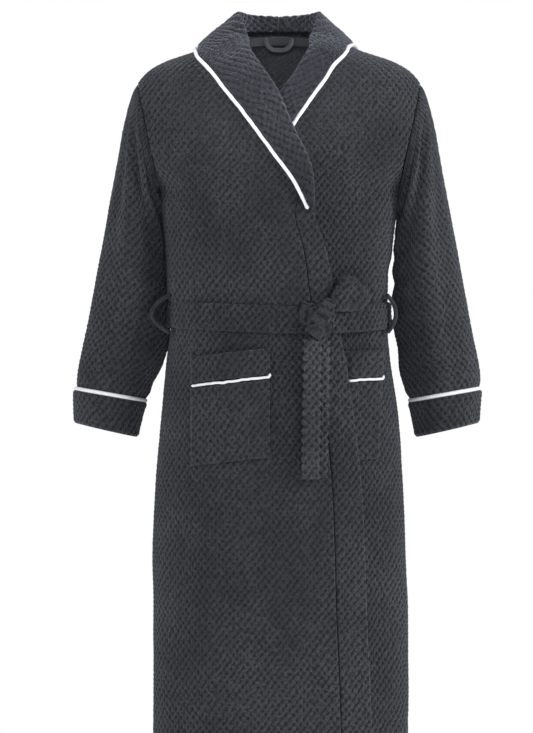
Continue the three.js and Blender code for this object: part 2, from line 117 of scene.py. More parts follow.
half_width = smooth_through([
    (0, 88), (-22, 137), (-43, 198), (-60, 227), (-80, 244), (-120, 264), (-172, 272), (-220, 250),
    (-264, 207), (-290, 199), (-330, 193), (-380, 188), (-480, 186), (-546, 191), (-660, 205),
    (-800, 215), (-1000, 219), (-1206, 221),
])
front_depth = smooth_through([
    (0, 62), (-22, 78), (-52, 94), (-80, 104), (-172, 118), (-264, 124), (-480, 120), (-800, 126),
    (-1206, 128),
])
back_depth = smooth_through([
    (0, 58), (-22, 80), (-52, 100), (-80, 110), (-172, 122), (-370, 116), (-480, 110), (-627, 122),
    (-1206, 132),
])
front_edge_x = smooth_through([
    (0, -84), (-20, -60), (-34, -45), (-67, -24), (-91, -7), (-158, 22), (-191, 40), (-229, 54), (-309, 61),
    (-371, 81), (-480, 100), (-627, 126), (-788, 144), (-1000, 153), (-1206, 162),
])
band_width = smooth_through([
    (BAND_TOP_Z, 6), (LAPEL_TIP[1], 24), (WAIST_Z, 34), (-700, 42), (-ROBE_DROP, 46),
])


# ---- Helpers ----
def smoothstep(x, low, high):
    t = np.clip((x - low) / (high - low), 0, 1)
    return t * t * (3 - 2 * t)


def signed_power(value, power):
    return np.sign(value) * np.abs(value) ** power


def unit(v):
    return v / np.maximum(np.linalg.norm(v, axis=-1, keepdims=True), 1e-9)


def stack(x, y, z):
    return np.stack(np.broadcast_arrays(x, y, z), axis=-1).astype(float)


def noise(x, y, z, seed=0):
    """Smooth value noise from -1 to 1, the same each run."""
    x, y, z = np.broadcast_arrays(*[np.asarray(a, float) for a in (x, y, z)])
    cell = [np.floor(a) for a in (x, y, z)]
    f = [a - c for a, c in zip((x, y, z), cell)]
    f = [t * t * t * (t * (6 * t - 15) + 10) for t in f]
    total = np.zeros_like(x)
    for corner in range(8):
        bits = [(corner >> k) & 1 for k in range(3)]
        weight = np.prod([t if b else 1 - t for t, b in zip(f, bits)], axis=0)
        key = sum((c + b) * m for c, b, m in zip(cell, bits, (127.1, 311.7, 74.7)))
        value = np.sin(key + seed * 19.19) * 43758.5453
        total += weight * (value - np.floor(value))
    return 2 * total - 1


def turns(count):
    """Even angles once round."""
    return 2 * np.pi * np.arange(count) / count


def rounded(share):
    """A quarter circle's height, from 0 at share 0 to 1 at share 1."""
    return np.sqrt(1 - (1 - share) ** 2)


def lengths_along(path):
    """The distance from a path's first point to each of its points."""
    return np.r_[0, np.cumsum(np.linalg.norm(np.diff(path, axis=0), axis=1))]


def read_grid(grid, row, column):
    """A grid's values between its lines. Its cells may themselves be vectors."""
    row, column = np.broadcast_arrays(row, column)
    i, j = row.astype(int), column.astype(int)
    shape = row.shape + (1,) * (grid.ndim - 2)
    fi, fj = (row - i).reshape(shape), (column - j).reshape(shape)
    low = grid[i, j] * (1 - fj) + grid[i, j + 1] * fj
    high = grid[i + 1, j] * (1 - fj) + grid[i + 1, j + 1] * fj
    return low * (1 - fi) + high * fi


def curve_at(points, t):
    """Points at shares t of a centripetal Catmull-Rom curve. Its control points may themselves be arrays."""
    p = np.asarray(points, float)
    t = np.atleast_1d(np.asarray(t, float))
    ext = np.concatenate([[2 * p[0] - p[1]], p, [2 * p[-1] - p[-2]]])
    at = t * (len(p) - 1)
    i = np.clip(np.floor(at).astype(int), 0, len(p) - 2)
    w = (at - i).reshape(-1, *[1] * (p.ndim - 1))
    a, b, c, d = ext[i], ext[i + 1], ext[i + 2], ext[i + 3]
    pairs = ((a, b), (b, c), (c, d))
    d0, d1, d2 = (np.sqrt(np.linalg.norm(v - u, axis=-1, keepdims=True)) for u, v in pairs)
    d1 = np.maximum(d1, 1e-4)
    d0, d2 = np.where(d0 < 1e-4, d1, d0), np.where(d2 < 1e-4, d1, d2)
    t1 = ((b - a) / d0 - (c - a) / (d0 + d1) + (c - b) / d1) * d1
    t2 = ((c - b) / d1 - (d - b) / (d1 + d2) + (d - c) / d2) * d1
    return b + w * t1 + w**2 * (3 * (c - b) - 2 * t1 - t2) + w**3 * (2 * (b - c) + t1 + t2)


def strayed(s, t, seed):
    """Cloth coordinates of a lattice that wanders a little, as the pile of a worn fleece does."""
    along = s + 2.0 * noise(s / 31, t / 37, seed, 70) + 0.9 * noise(s / 11, t / 13, seed, 71)
    down = t + 2.2 * noise(s / 33, t / 35, seed, 72) + 0.9 * noise(s / 12, t / 11, seed, 73)
    return along, down


def crushed(s, t, seed):
    """How high the pile stands, place by place, as a share of its usual height."""
    return 1 + 0.45 * noise(s / 26, t / 30, seed, 74)


def nubs(s, t):
    """The fleece's relief, from -1 in the pits to 1 on the nubs, at cloth coordinates in millimetres."""
    u, v = 2 * np.pi * s / NUB_ACROSS, 2 * np.pi * t / NUB_DOWN
    wave = RIDGE_SHARE * np.cos(u + v) + (1 - RIDGE_SHARE) * np.cos(u - v)
    return np.where(wave > 0, 0.7 * wave, wave)


# ---- The body's surface ----
def body_point(angle, z):
    """A point of the plain body, at an angle round it from the front towards the wearer's left."""
    power = 2 / SECTION_POWER
    ahead = np.cos(angle)
    depth = np.where(ahead > 0, front_depth(z), back_depth(z))
    x = half_width(z) * signed_power(np.sin(angle), power)
    return stack(x, -depth * signed_power(ahead, power), z)


def body_normal(angle, z):
    turn, drop = 0.02, 2
    below = np.maximum(z - drop, -ROBE_DROP)
    above = np.minimum(below + 2 * drop, 0)
    across = body_point(angle + turn, z) - body_point(angle - turn, z)
    down = body_point(angle, below) - body_point(angle, above)
    return unit(np.cross(down, across))


def angle_at(x, z):
    share = np.clip(x / half_width(z), -1, 1)
    return np.arcsin(signed_power(share, SECTION_POWER / 2))


def drape(angle, z):
    """How far the hanging cloth stands proud of the plain body, in soft folds."""
    a, b = np.sin(angle), np.cos(angle)
    skirt = smoothstep(-z, 500, 1150)
    chest = smoothstep(-z, 60, 200)
    folds = 4.6 * skirt * noise(3.1 * a, 3.1 * b, z / 800, 3)
    soft = 2.2 * chest * noise(2.3 * a, 2.3 * b, z / 110, 5)
    near_belt = np.exp(-(((z - WAIST_Z + 6) / 75) ** 2))
    gathers = 1.3 * near_belt * noise(7.5 * a, 7.5 * b, z / 160, 8)
    down_to = np.where(a < 0, smoothstep(z, -480, -440), 0.7 * smoothstep(z, -410, -370))
    side_bulge = 10.0 * smoothstep(-z, 258, 284) * down_to * np.abs(a) ** 6
    return folds + soft + gathers + side_bulge


def front_base(side, angle, z):
    """How far a front lies off the plain body. The under front is tucked in below the other one's lap."""
    if side < 0:
        return 0 * angle
    start = angle_at(front_edge_x(z), z) + 0.06
    ramp = np.minimum(0.8, np.pi / 2 - start)
    return -WRAP_TUCK * (1 - smoothstep((angle - start) / ramp, 0, 1))


def on_body(angle, z, lift):
    """A point this far off the draped body."""
    return body_point(angle, z) + body_normal(angle, z) * np.asarray(lift + drape(angle, z))[..., None]


def on_front(side, x, z, lift=0):
    angle = angle_at(x, z)
    return on_body(angle, z, front_base(side, angle, z) + lift)


def edge_x(side, z):
    return -side * front_edge_x(z)


def armhole_x(z):
    (tip_x, tip_z), (pit_x, pit_z) = SHOULDER_TIP, ARMPIT
    return tip_x + (pit_x - tip_x) * (z - tip_z) / (pit_z - tip_z)


def side_angle(z):
    """The angle of the side seam, or of the armhole's edge between the shoulder and the armpit."""
    inside = (z < SHOULDER_TIP[1]) & (z > ARMPIT[1])
    return np.where(inside, angle_at(np.where(inside, armhole_x(z), 0), z), np.pi / 2)


class Quarter:
    """Arc lengths round a quarter of the body, so that the lattice keeps its size there."""

    levels = np.linspace(-ROBE_DROP, 0, 403)
    angles = np.linspace(0, np.pi / 2, 240)
    shares = np.linspace(0, 1, 121)

    def __init__(self, back):
        turn = np.pi - self.angles if back else self.angles
        points = body_point(turn[None, :], self.levels[:, None])
        legs = np.linalg.norm(np.diff(points, axis=1), axis=-1)
        self.lengths = np.concatenate([np.zeros((len(self.levels), 1)), np.cumsum(legs, axis=1)], axis=1)
        rows = [np.interp(self.shares * row[-1], row, self.angles) for row in self.lengths]
        self.turns = np.array(rows)

    def _look_up(self, table, z, column):
        row = (z - self.levels[0]) / (self.levels[1] - self.levels[0])
        row = np.clip(row, 0, len(self.levels) - LAST_CELL)
        return read_grid(table, row, np.clip(column, 0, table.shape[1] - LAST_CELL))

    def length(self, angle, z):
        column = np.abs(angle) / (np.pi / 2) * (len(self.angles) - 1)
        return np.sign(angle) * self._look_up(self.lengths, np.asarray(z, float), column)

    def angle(self, s, z):
        full = self._look_up(self.lengths, z, np.full_like(z, len(self.angles)))
        return np.sign(s) * self._look_up(self.turns, z, np.abs(s) / full * (len(self.shares) - 1))


FRONT, BACK = Quarter(False), Quarter(True)


def drop_table(angle):
    """Distance along the cloth down a line of the body, and back from it to the height."""
    z = np.linspace(0, -ROBE_DROP, ROBE_DROP + 1)
    length = lengths_along(body_point(np.full_like(z, angle), z))

    def distance(height):
        return np.interp(-np.asarray(height), -z, length)

    def height(distance_down):
        return np.interp(distance_down, length, z)

    return distance, height


front_t, front_z = drop_table(DROP_LINE)
back_t, back_z = drop_table(np.pi - DROP_LINE)


# ---- Meshes ----
def add_piece(name, points, faces, cloth, material, body=None, nodes=()):
    """A smooth-shaded mesh from millimetres, with the cloth coordinates that its material reads."""
    mesh = bpy.data.meshes.new(name)
    mesh.from_pydata((np.asarray(points) / 1000).tolist(), [], faces)
    mesh.validate()
    shell = bmesh.new()
    shell.from_mesh(mesh)
    bmesh.ops.recalc_face_normals(shell, faces=shell.faces)
    shell.to_mesh(mesh)
    shell.free()
    mesh.polygons.foreach_set("use_smooth", np.ones(len(mesh.polygons), bool))
    written = mesh.attributes.new("cloth", "FLOAT_VECTOR", "POINT")
    written.data.foreach_set("vector", np.asarray(cloth, np.float32).ravel())
    mesh.materials.append(material)
    obj = bpy.data.objects.new(name, mesh)
    bpy.context.scene.collection.objects.link(obj)
    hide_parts(*nodes)
    if body:
        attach(obj, body)
    return obj


def cloth_place(s, t, mask):
    """What a material reads at a point: its place in the lattice, and how strongly the nubs' bump and the
    pits' painted shade show there.
    """
    return stack(s / NUB_ACROSS, t / NUB_DOWN, mask)


def clipped_grid(left, right, every):
    """The lattice's columns cut off at each row's own left and right limit, and the numbers of the points."""
    first, last = math.floor(left.min() / STEP_S), math.ceil(right.max() / STEP_S)
    first, last = math.floor(first / every) * every, math.ceil(last / every) * every
    columns = np.arange(first, last + 1, every) * STEP_S
    s = np.clip(columns[None, :], left[:, None], right[:, None])
    low = np.searchsorted(columns, left, side="right") - 1
    high = np.searchsorted(columns, right, side="left")
    low, high = np.maximum(low, 0), np.minimum(high, len(columns) - 1)
    column = np.clip(np.arange(len(columns))[None, :], low[:, None], high[:, None])
    return s, np.arange(len(left))[:, None] * len(columns) + column


def as_faces(quads):
    return [tuple(quad) for quad in quads.tolist()]


def grid_faces(number, flip=False):
    """The grid's quads. A quad with two corners in one place is a triangle, and a flatter one is left out."""
    corners = np.stack([number[:-1, :-1], number[1:, :-1], number[1:, 1:], number[:-1, 1:]], axis=-1)
    corners = corners.reshape(-1, 4)
    same = (corners == np.roll(corners, -1, axis=1)).sum(axis=1)
    faces = as_faces(corners[same == 0])
    for quad in corners[same == 1].tolist():
        faces.append(tuple(v for k, v in enumerate(quad) if v != quad[(k + 1) % 4]))
    return [f[::-1] for f in faces] if flip else faces


def rim_faces(dense, dense_key, coarse, coarse_key, flip):
    """Faces between a row of close points and a row of wide ones that run alongside each other."""
    faces = []
    for k in range(len(coarse) - 1):
        if coarse[k] == coarse[k + 1]:
            continue
        low, high = sorted((coarse_key[k], coarse_key[k + 1]))
        inside = [d for d, key in zip(dense, dense_key) if low - 1e-6 <= key <= high + 1e-6]
        ring = [coarse[k], coarse[k + 1]] + inside[::-1]
        faces.append(tuple(ring[::-1] if flip else ring))
    return faces


def cloth_sheet(
    rows, left, right, surface, thickness=CLOTH, relief=FLEECE_RELIEF, edge=2.3, every=1, hem=None, lay=None
):
    """A closed sheet of fleece over surface(s, t), which gives its outer points and normals.

    Its outer face follows the lattice, its edges are rounded, and its inner face has every `every`-th line.
    hem(s, t) is how far stitches sink in, and lay(s, t) gives true cloth distances where s and t aren't.
    """
    rows, left, right = (np.asarray(a, float) for a in (rows, left, right))
    keep = sorted(set(range(0, len(rows), every)) | {len(rows) - 1})

    def face(index, gaps):
        s, number = clipped_grid(left[index], right[index], gaps)
        t = np.broadcast_to(rows[index][:, None], s.shape)
        inward = np.minimum(s - left[index][:, None], right[index][:, None] - s)
        inward = np.minimum(inward, np.minimum(t - rows[0], rows[-1] - t))
        curl = edge * (1 - rounded(np.clip(inward / edge, 0, 1)))
        return s, t, number, inward, curl

    s, t, number, inward, curl = face(list(range(len(rows))), 1)
    points, normals = surface(s, t)
    s1, t1 = strayed(*(lay(s, t) if lay else (s, t)), relief * 3)
    height = relief * crushed(s, t, relief * 3) * nubs(s1, t1) * smoothstep(inward, *FADE) - curl
    if hem is not None:
        height = height - hem(s, t)
    outer = points + normals * height[..., None]
    s2, t2, number2, _, curl2 = face(keep, every)
    points2, normals2 = surface(s2, t2)
    inner = points2 - normals2 * (thickness - curl2)[..., None]
    count = outer.shape[0] * outer.shape[1]
    number2 = number2 + count
    faces = grid_faces(number) + grid_faces(number2, flip=True)
    faces += rim_faces(number[:, 0], rows, number2[:, 0], rows[keep], True)
    faces += rim_faces(number[:, -1], rows, number2[:, -1], rows[keep], False)
    for row, end in ((0, 0), (-1, 1)):
        top, wide = dict(zip(number[row], s[row])), dict(zip(number2[row], s2[row]))
        faces += rim_faces(list(top), list(top.values()), list(wide), list(wide.values()), end == 1)
    all_points = np.concatenate([outer.reshape(-1, 3), inner.reshape(-1, 3)])
    cloth = [cloth_place(s1, t1, OUTER_MASK).reshape(-1, 3), cloth_place(s2, t2, INNER_MASK).reshape(-1, 3)]
    cloth = np.concatenate(cloth)
    used = np.unique(np.concatenate([np.array(f) for f in faces]))
    renumber = np.zeros(len(all_points), int)
    renumber[used] = np.arange(len(used))
    faces = [tuple(renumber[list(f)].tolist()) for f in faces]
    widths = right - left
    size = (float(widths.max()), float(rows[-1] - rows[0]))
    area = float((np.diff(rows) * (widths[1:] + widths[:-1]) / 2).sum())
    return all_points[used], faces, cloth[used], size, area


def lattice_rows(start, end):
    """Cloth rows on the lattice between two distances, with both ends."""
    inside = np.arange(math.ceil((start + 1) / STEP_T), math.floor((end - 1) / STEP_T) + 1) * STEP_T
    return np.r_[start, inside, end]


def add_sheet(node, made, material, body="robe"):
    """The cloth that replaces a CAD node."""
    points, faces, cloth, size, area = made
    obj = add_piece(node + "_cloth", points, faces, cloth, material, body, [node])
    metres = tuple(round(x / 1000, 4) for x in size)
    area = round(min(area / 1e6, metres[0] * metres[1]), 5)


def ring_mesh(rings, cloth):
    """Quads over an array of rings (n, k, 3), closed at both ends."""
    n, k, _ = rings.shape
    number = np.arange(n * k).reshape(n, k)
    beside = np.roll(number, -1, axis=1)
    quads = np.stack([number[:-1], beside[:-1], beside[1:], number[1:]], axis=-1).reshape(-1, 4)
    faces = as_faces(quads) + as_faces(np.stack([number[0][::-1], number[-1]]))
    return rings.reshape(-1, 3), faces, cloth.reshape(-1, 3)


def sweep(path, across, out, width, thickness, count=12, power=2.0, taper=3.0):
    """A rounded strap or cord along a path. Its ends round off over `taper` millimetres."""
    along = lengths_along(path)
    turn = turns(count)
    x = signed_power(np.cos(turn), 2 / power)
    y = signed_power(np.sin(turn), 2 / power)
    from_end = np.clip(np.minimum(along, along[-1] - along) / taper, 0.02, 1)
    full = rounded(from_end)
    w = (width / 2 * full)[:, None, None] * x[None, :, None]
    h = (thickness / 2 * full)[:, None, None] * y[None, :, None]
    rings = path[:, None, :] + across[:, None, :] * w + out[:, None, :] * h
    cloth = cloth_place(w[..., 0] + 100, along[:, None], NO_NUBS)
    return ring_mesh(rings, cloth)


def resample(path, step):
    """The path with points an even distance apart."""
    along = lengths_along(path)
    count = max(2, int(along[-1] / step) + 1)
    at = np.linspace(0, along[-1], count)
    return np.stack([np.interp(at, along, path[:, k]) for k in range(3)], axis=1)


def frames_along(path, out_hint):
    """(across, out) at each point of a path, from a hint of which way is out."""
    tangent = unit(np.gradient(path, axis=0))
    across = unit(np.cross(tangent, out_hint))
    return across, unit(np.cross(across, tangent))


# ---- Materials ----
class Nodes:
    """Short calls for a material's node tree."""

    def __init__(self, name):
        self.material = bpy.data.materials.new(name)
        self.material.use_nodes = True
        self.tree = self.material.node_tree
        self.shader = self.tree.nodes["Principled BSDF"]

    def add(self, kind, **settings):
        node = self.tree.nodes.new("ShaderNode" + kind)
        for key, value in settings.items():
            setattr(node, key, value)
        return node

    def link(self, value, socket):
        if isinstance(value, bpy.types.NodeSocket):
            self.tree.links.new(value, socket)
        else:
            socket.default_value = value

    def math(self, operation, a, b=0.0, c=0.0):
        node = self.add("Math", operation=operation)
        for value, socket in zip((a, b, c), node.inputs):
            self.link(value, socket)
        return node.outputs[0]

    def times(self, a, b):
        return self.math("MULTIPLY", a, b)

    def plus(self, a, b):
        return self.math("ADD", a, b)

    def span(self, value, low, high, to_low=0.0, to_high=1.0):
        node = self.add("MapRange", interpolation_type="SMOOTHSTEP")
        for given, socket in zip((value, low, high, to_low, to_high), node.inputs):
            self.link(given, socket)
        return node.outputs[0]

    def colour(self, factor, dark, light):
        """The base colour, from dark at factor 0 to light at factor 1."""
        node = self.add("Mix", data_type="RGBA")
        self.link(factor, node.inputs[0])
        self.link((*dark, 1), node.inputs[6])
        self.link((*light, 1), node.inputs[7])
        self.link(node.outputs[2], self.shader.inputs["Base Color"])

    def noise(self, scale, detail=2.0, stretch=(1, 1, 1)):
        place = self.add("TexCoord").outputs["Object"]
        mapping = self.add("Mapping")
        mapping.inputs["Scale"].default_value = stretch
        self.link(place, mapping.inputs[0])
        node = self.add("TexNoise")
        self.link(mapping.outputs[0], node.inputs["Vector"])
        node.inputs["Scale"].default_value = scale
        node.inputs["Detail"].default_value = detail
        return node.outputs["Fac"]

    def cloth(self):
        node = self.add("Attribute", attribute_name="cloth")
        parts = self.add("SeparateXYZ")
        self.link(node.outputs["Vector"], parts.inputs[0])
        return parts.outputs[0], parts.outputs[1], parts.outputs[2]

    def rib(self, across, down):
        """A sine wave with this many ribs to the lattice's steps across and down."""
        u, v, _ = self.cloth()
        place = self.plus(self.times(u, across), self.times(v, down))
        return self.math("SINE", self.times(place, 2 * math.pi))

    def bump(self, height, distance, strength=1.0):
        node = self.add("Bump")
        node.inputs["Strength"].default_value = strength
        node.inputs["Distance"].default_value = distance
        self.link(height, node.inputs["Height"])
        self.link(node.outputs[0], self.shader.inputs["Normal"])

    def set(self, **values):
        for key, value in values.items():
            self.shader.inputs[key.replace("_", " ")].default_value = value


def fleece(name, dark, light, sheen):
    """Embossed coral fleece: pits painted darker as shade, lighter nubs, a short pile and a mottle where the
    pile leans.
    """
    n = Nodes(name)
    u, v, mask = n.cloth()
    turn = 2 * math.pi
    rising = n.math("COSINE", n.times(n.plus(u, v), turn))
    falling = n.math("COSINE", n.times(n.math("SUBTRACT", u, v), turn))
    wave = n.plus(n.times(rising, RIDGE_SHARE), n.times(falling, 1 - RIDGE_SHARE))
    pile = n.noise(300, 4)
    tufts = n.noise(150, 3)
    mottle = n.noise(11, 4, (1, 1, 0.7))
    wobble = n.times(n.math("SUBTRACT", tufts, 0.5), 2.6)
    relief = n.span(n.plus(wave, wobble), -1.1, 0.45)
    plain = 0.8  # the colour factor where no nubs show, between the pits' painted shade and the nubs' colour
    relief = n.plus(n.times(n.math("SUBTRACT", relief, plain), mask), plain)
    # the colour is darkest in the pits: painted shade for the shadow that falls into them
    shade = n.times(relief, n.span(mottle, 0.34, 0.66, 0.55, 1.0))
    shade = n.times(shade, n.span(pile, 0.32, 0.68, 0.42, 1.15))
    shade = n.times(shade, n.span(tufts, 0.3, 0.7, 0.72, 1.0))
    n.colour(shade, dark, light)
    n.bump(n.plus(n.times(relief, 0.7), n.times(pile, 0.9)), 0.0022)
    n.set(Roughness=0.95, Sheen_Weight=sheen, Sheen_Roughness=0.45)
    n.set(Sheen_Tint=(0.80, 0.86, 1.0, 1), Specular_IOR_Level=0.12)
    return n.material


def satin(name):
    """White satin bias binding over a cord, with its fine diagonal rib."""
    n = Nodes(name)
    rib = n.rib(1.0, 9.0)
    soft = n.noise(160, 2)
    shade = n.plus(n.times(soft, 0.6), n.times(n.span(rib, -1, 1), 0.25))
    n.colour(shade, (0.70, 0.69, 0.76), (0.93, 0.92, 0.97))
    n.bump(n.plus(n.times(rib, 0.15), soft), 0.0008, 0.5)
    n.set(Roughness=0.5, Sheen_Weight=0.15, Sheen_Roughness=0.3)
    return n.material


def woven_tape(name, dark, light):
    """Twill tape."""
    n = Nodes(name)
    twill = n.rib(8.0, 9.0)
    fibre = n.noise(500, 2)
    n.colour(n.plus(n.times(n.span(twill, -1, 1), 0.5), n.times(fibre, 0.5)), dark, light)
    n.bump(n.plus(n.times(twill, 0.5), fibre), 0.0005, 0.7)
    n.set(Roughness=0.8, Sheen_Weight=0.2, Sheen_Roughness=0.4)
    return n.material


# each fleece's dark colour is its pits' painted shade, and its light colour is the nubs'
BODY_FLEECE = fleece("fleece", (0.015, 0.016, 0.019), (0.051, 0.054, 0.061), 0.18)
# the collar fleece is painted slightly darker than the body fleece, as shade against the neck lamp's extra
# light
COLLAR_FLEECE_PAINTED_SHADE = fleece("collar_fleece_painted_shade", (0.014, 0.015, 0.019), (0.047, 0.051, 0.060), 0.2)
BELT_FLEECE = fleece("belt_fleece", (0.014, 0.015, 0.017), (0.052, 0.055, 0.060), 0.12)
# the tail fleece is a lighter copy of the belt fleece: painted light on the hanging tails
TAIL_FLEECE_PAINTED_LIGHT = fleece("tail_fleece_painted_light", (0.020, 0.021, 0.023), (0.080, 0.083, 0.090), 0.15)
WHITE_SATIN = satin("white_satin")
DARK_TAPE = woven_tape("dark_tape", (0.018, 0.019, 0.024), (0.040, 0.042, 0.050))
LOOP_TAPE = woven_tape("loop_tape", (0.040, 0.043, 0.054), (0.100, 0.105, 0.125))


# ---- Back, fronts and bands ----
def sewn_hem(t_end):
    """A line of stitches that sinks into the pile above the hem."""
    stitch_up, sink, half_wide = 26, 1.4, 1.6

    def hem(s, t):
        return sink * np.exp(-(((t - (t_end - stitch_up)) / half_wide) ** 2))

    return hem


def back_panel():
    rows = lattice_rows(float(back_t(-4)), float(back_t(-ROBE_DROP)))
    z = back_z(rows)
    reach = BACK.length(side_angle(z), z) + SEAM_TUCK

    def surface(s, t):
        height = back_z(t)
        angle = np.pi - BACK.angle(s, height)
        normal = body_normal(angle, height)
        points = body_point(angle, height) + normal * drape(angle, height)[..., None]
        fade = 1 - smoothstep(t - rows[0], 0, 70)
        points[..., 2] += BACK_NECK_RISE * np.maximum(0, points[..., 1] / back_depth(height)) * fade
        return points, normal

    made = cloth_sheet(rows, -reach, reach, surface, every=3, hem=sewn_hem(rows[-1]))
    add_sheet("back_panel", made, BODY_FLEECE)


def front_surface(side):
    def surface(s, t):
        z = front_z(t)
        angle = FRONT.angle(s, z)
        normal = body_normal(angle, z)
        height = front_base(side, angle, z) + drape(angle, z)
        return body_point(angle, z) + normal * height[..., None], normal

    return surface


def panel_edge_x(side, z):
    inward = EDGE_INSET + np.where(z <= BAND_TOP_Z, band_width(z) + SEAM_GAP, 0)
    return edge_x(side, z) + side * inward


def s_at_x(x, z):
    return FRONT.length(angle_at(x, z), z)


def front_panel(side, word):
    rows = lattice_rows(float(front_t(-6)), float(front_t(-ROBE_DROP)))
    z = front_z(rows)
    edge = s_at_x(panel_edge_x(side, z), z)
    seam = side * (FRONT.length(side_angle(z), z) + SEAM_TUCK)
    left, right = (edge, seam) if side > 0 else (seam, edge)
    made = cloth_sheet(rows, left, right, front_surface(side), every=3, hem=sewn_hem(rows[-1]))
    add_sheet(f"front_panel_{word}", made, BODY_FLEECE)


def front_band(side, word):
    rows = lattice_rows(float(front_t(BAND_TOP_Z)), float(front_t(-ROBE_DROP)))
    z = front_z(rows)
    rim_x = edge_x(side, z) + side * np.where(z < LAPEL_TIP[1], 0, EDGE_INSET)
    seam_x = edge_x(side, z) + side * (EDGE_INSET + band_width(z) - SEAM_GAP)
    rim, seam = s_at_x(rim_x, z), s_at_x(seam_x, z)
    left, right = (rim, seam) if side > 0 else (seam, rim)
    made = cloth_sheet(rows, left, right, front_surface(side), hem=sewn_hem(rows[-1]))
    add_sheet(f"front_band_{word}", made, BODY_FLEECE)


# ---- Collar ----
COLLAR_TIP = (-LAPEL_TIP[0] + 4, LAPEL_TIP[1])
COLLAR_EDGE = {
    -1: {
        "neck": [(180, -48), (152, -44), (125, -32), (93, -22), (67, -26), (41, -41)],
        "front": [(111, -64), (82, -101), (51, -140), (10, -197), (-28, -249), COLLAR_TIP],
    },
    1: {
        "neck": [(180, -48), (152, -43), (125, -28), (93, -17), (57, -21), (36, -34)],
        "front": [(91, -49), (72, -77), (46, -113), (10, -167), (-32, -236), COLLAR_TIP],
    },
}
COLLAR_COLUMN = 70  # the table's column along which the collar's rows are spaced
COLLAR_LEVEL = 0.62  # the share of its length at which the collar's lattice runs straight across
ROLL_HEIGHTS = [-30, -62, -100, -160, -228, LAPEL_TIP[1] + 8]


def at(side, x, z, lift=0.0):
    return on_front(side, np.array(float(x)), np.array(float(z)), lift)


def collar_guides(side):
    """Control points of the neck seam, the roll line, the middle of the fall and the free edge."""

    def mirrored(points):
        return [np.array([side * x, y, z], float) for x, y, z in points]

    lift = COLLAR_GAP + COLLAR / 2
    wide = 4 if side < 0 else 0
    centre = -SEAM_TUCK
    seam = mirrored([(centre, 56, 13), (30, 52, 13), (58, 35, 12), (72, 12, 10), (72, -14, 4)])
    roll = mirrored([(centre, 55, 38), (32, 49, 39), (57, 33, 41), (68, 8, 42), (66, -20, 28), (55, -44, 0)])
    fall = mirrored([
        (centre, 81, 12), (48, 74, 13), (80, 50, 17), (94 + wide, 12, 21), (92 + wide, -26, 9),
        (84 + wide, -56, -14),
    ])
    turn = [(np.radians(d) * side, float(z)) for d, z in COLLAR_EDGE[side]["neck"]]
    edge = [on_body(np.array(a), np.array(z), lift) for a, z in turn]
    seam.append(at(side, edge_x(side, -14), -14, -CLOTH / 2))
    for z, (out_x, far_z) in zip(ROLL_HEIGHTS, COLLAR_EDGE[side]["front"]):
        x = float(edge_x(side, z))
        far_x = side * out_x
        puff = 2 if side < 0 or z > -90 else -1
        seam.append(at(side, x, z, -CLOTH / 2))
        roll.append(at(side, x + side * 3, z, lift))
        fall.append(at(side, (x + far_x) / 2, (z + far_z) / 2, lift + puff))
        edge.append(at(side, far_x, far_z, lift))
    return [np.array(g) for g in (seam, roll, fall, edge)]


def clear_of_body(side, point, distance):
    """The point moved out, level by level, until it is this far outside the body."""
    z = np.minimum(point[..., 2], 0)
    front = point[..., 1] < 0
    across = np.abs(point[..., 0] / half_width(z)) ** SECTION_POWER
    along = np.abs(point[..., 1] / np.where(front, front_depth(z), back_depth(z))) ** SECTION_POWER
    share = (across + along) ** (1 / SECTION_POWER)
    angle = np.arctan2(np.sqrt(across) * np.sign(point[..., 0]), -np.sqrt(along) * np.sign(point[..., 1]))
    normal = body_normal(angle, z)
    base = np.where(front, front_base(side, angle, z), 0) + drape(angle, z)
    outside = (distance + base) / np.maximum(0.3, np.hypot(normal[..., 0], normal[..., 1]))
    radius = np.hypot(point[..., 0], point[..., 1])
    push = np.where(point[..., 2] > 0, 1, np.maximum(1, (radius / share + outside) / radius))
    return point * np.stack([push, push, np.ones_like(push)], axis=-1)


def collar_middle(side, u, v):
    """Points of the collar's middle surface at shares u along it and v from its seam to its free edge."""
    controls = np.stack([curve_at(g, u) for g in collar_guides(side)])
    points = np.moveaxis(curve_at(controls, v), 0, 1)
    ease = smoothstep(v, 0.35, 0.6)[None, :, None]
    clear = clear_of_body(side, points, COLLAR_GAP + COLLAR / 2)
    return points * (1 - ease) + clear * ease


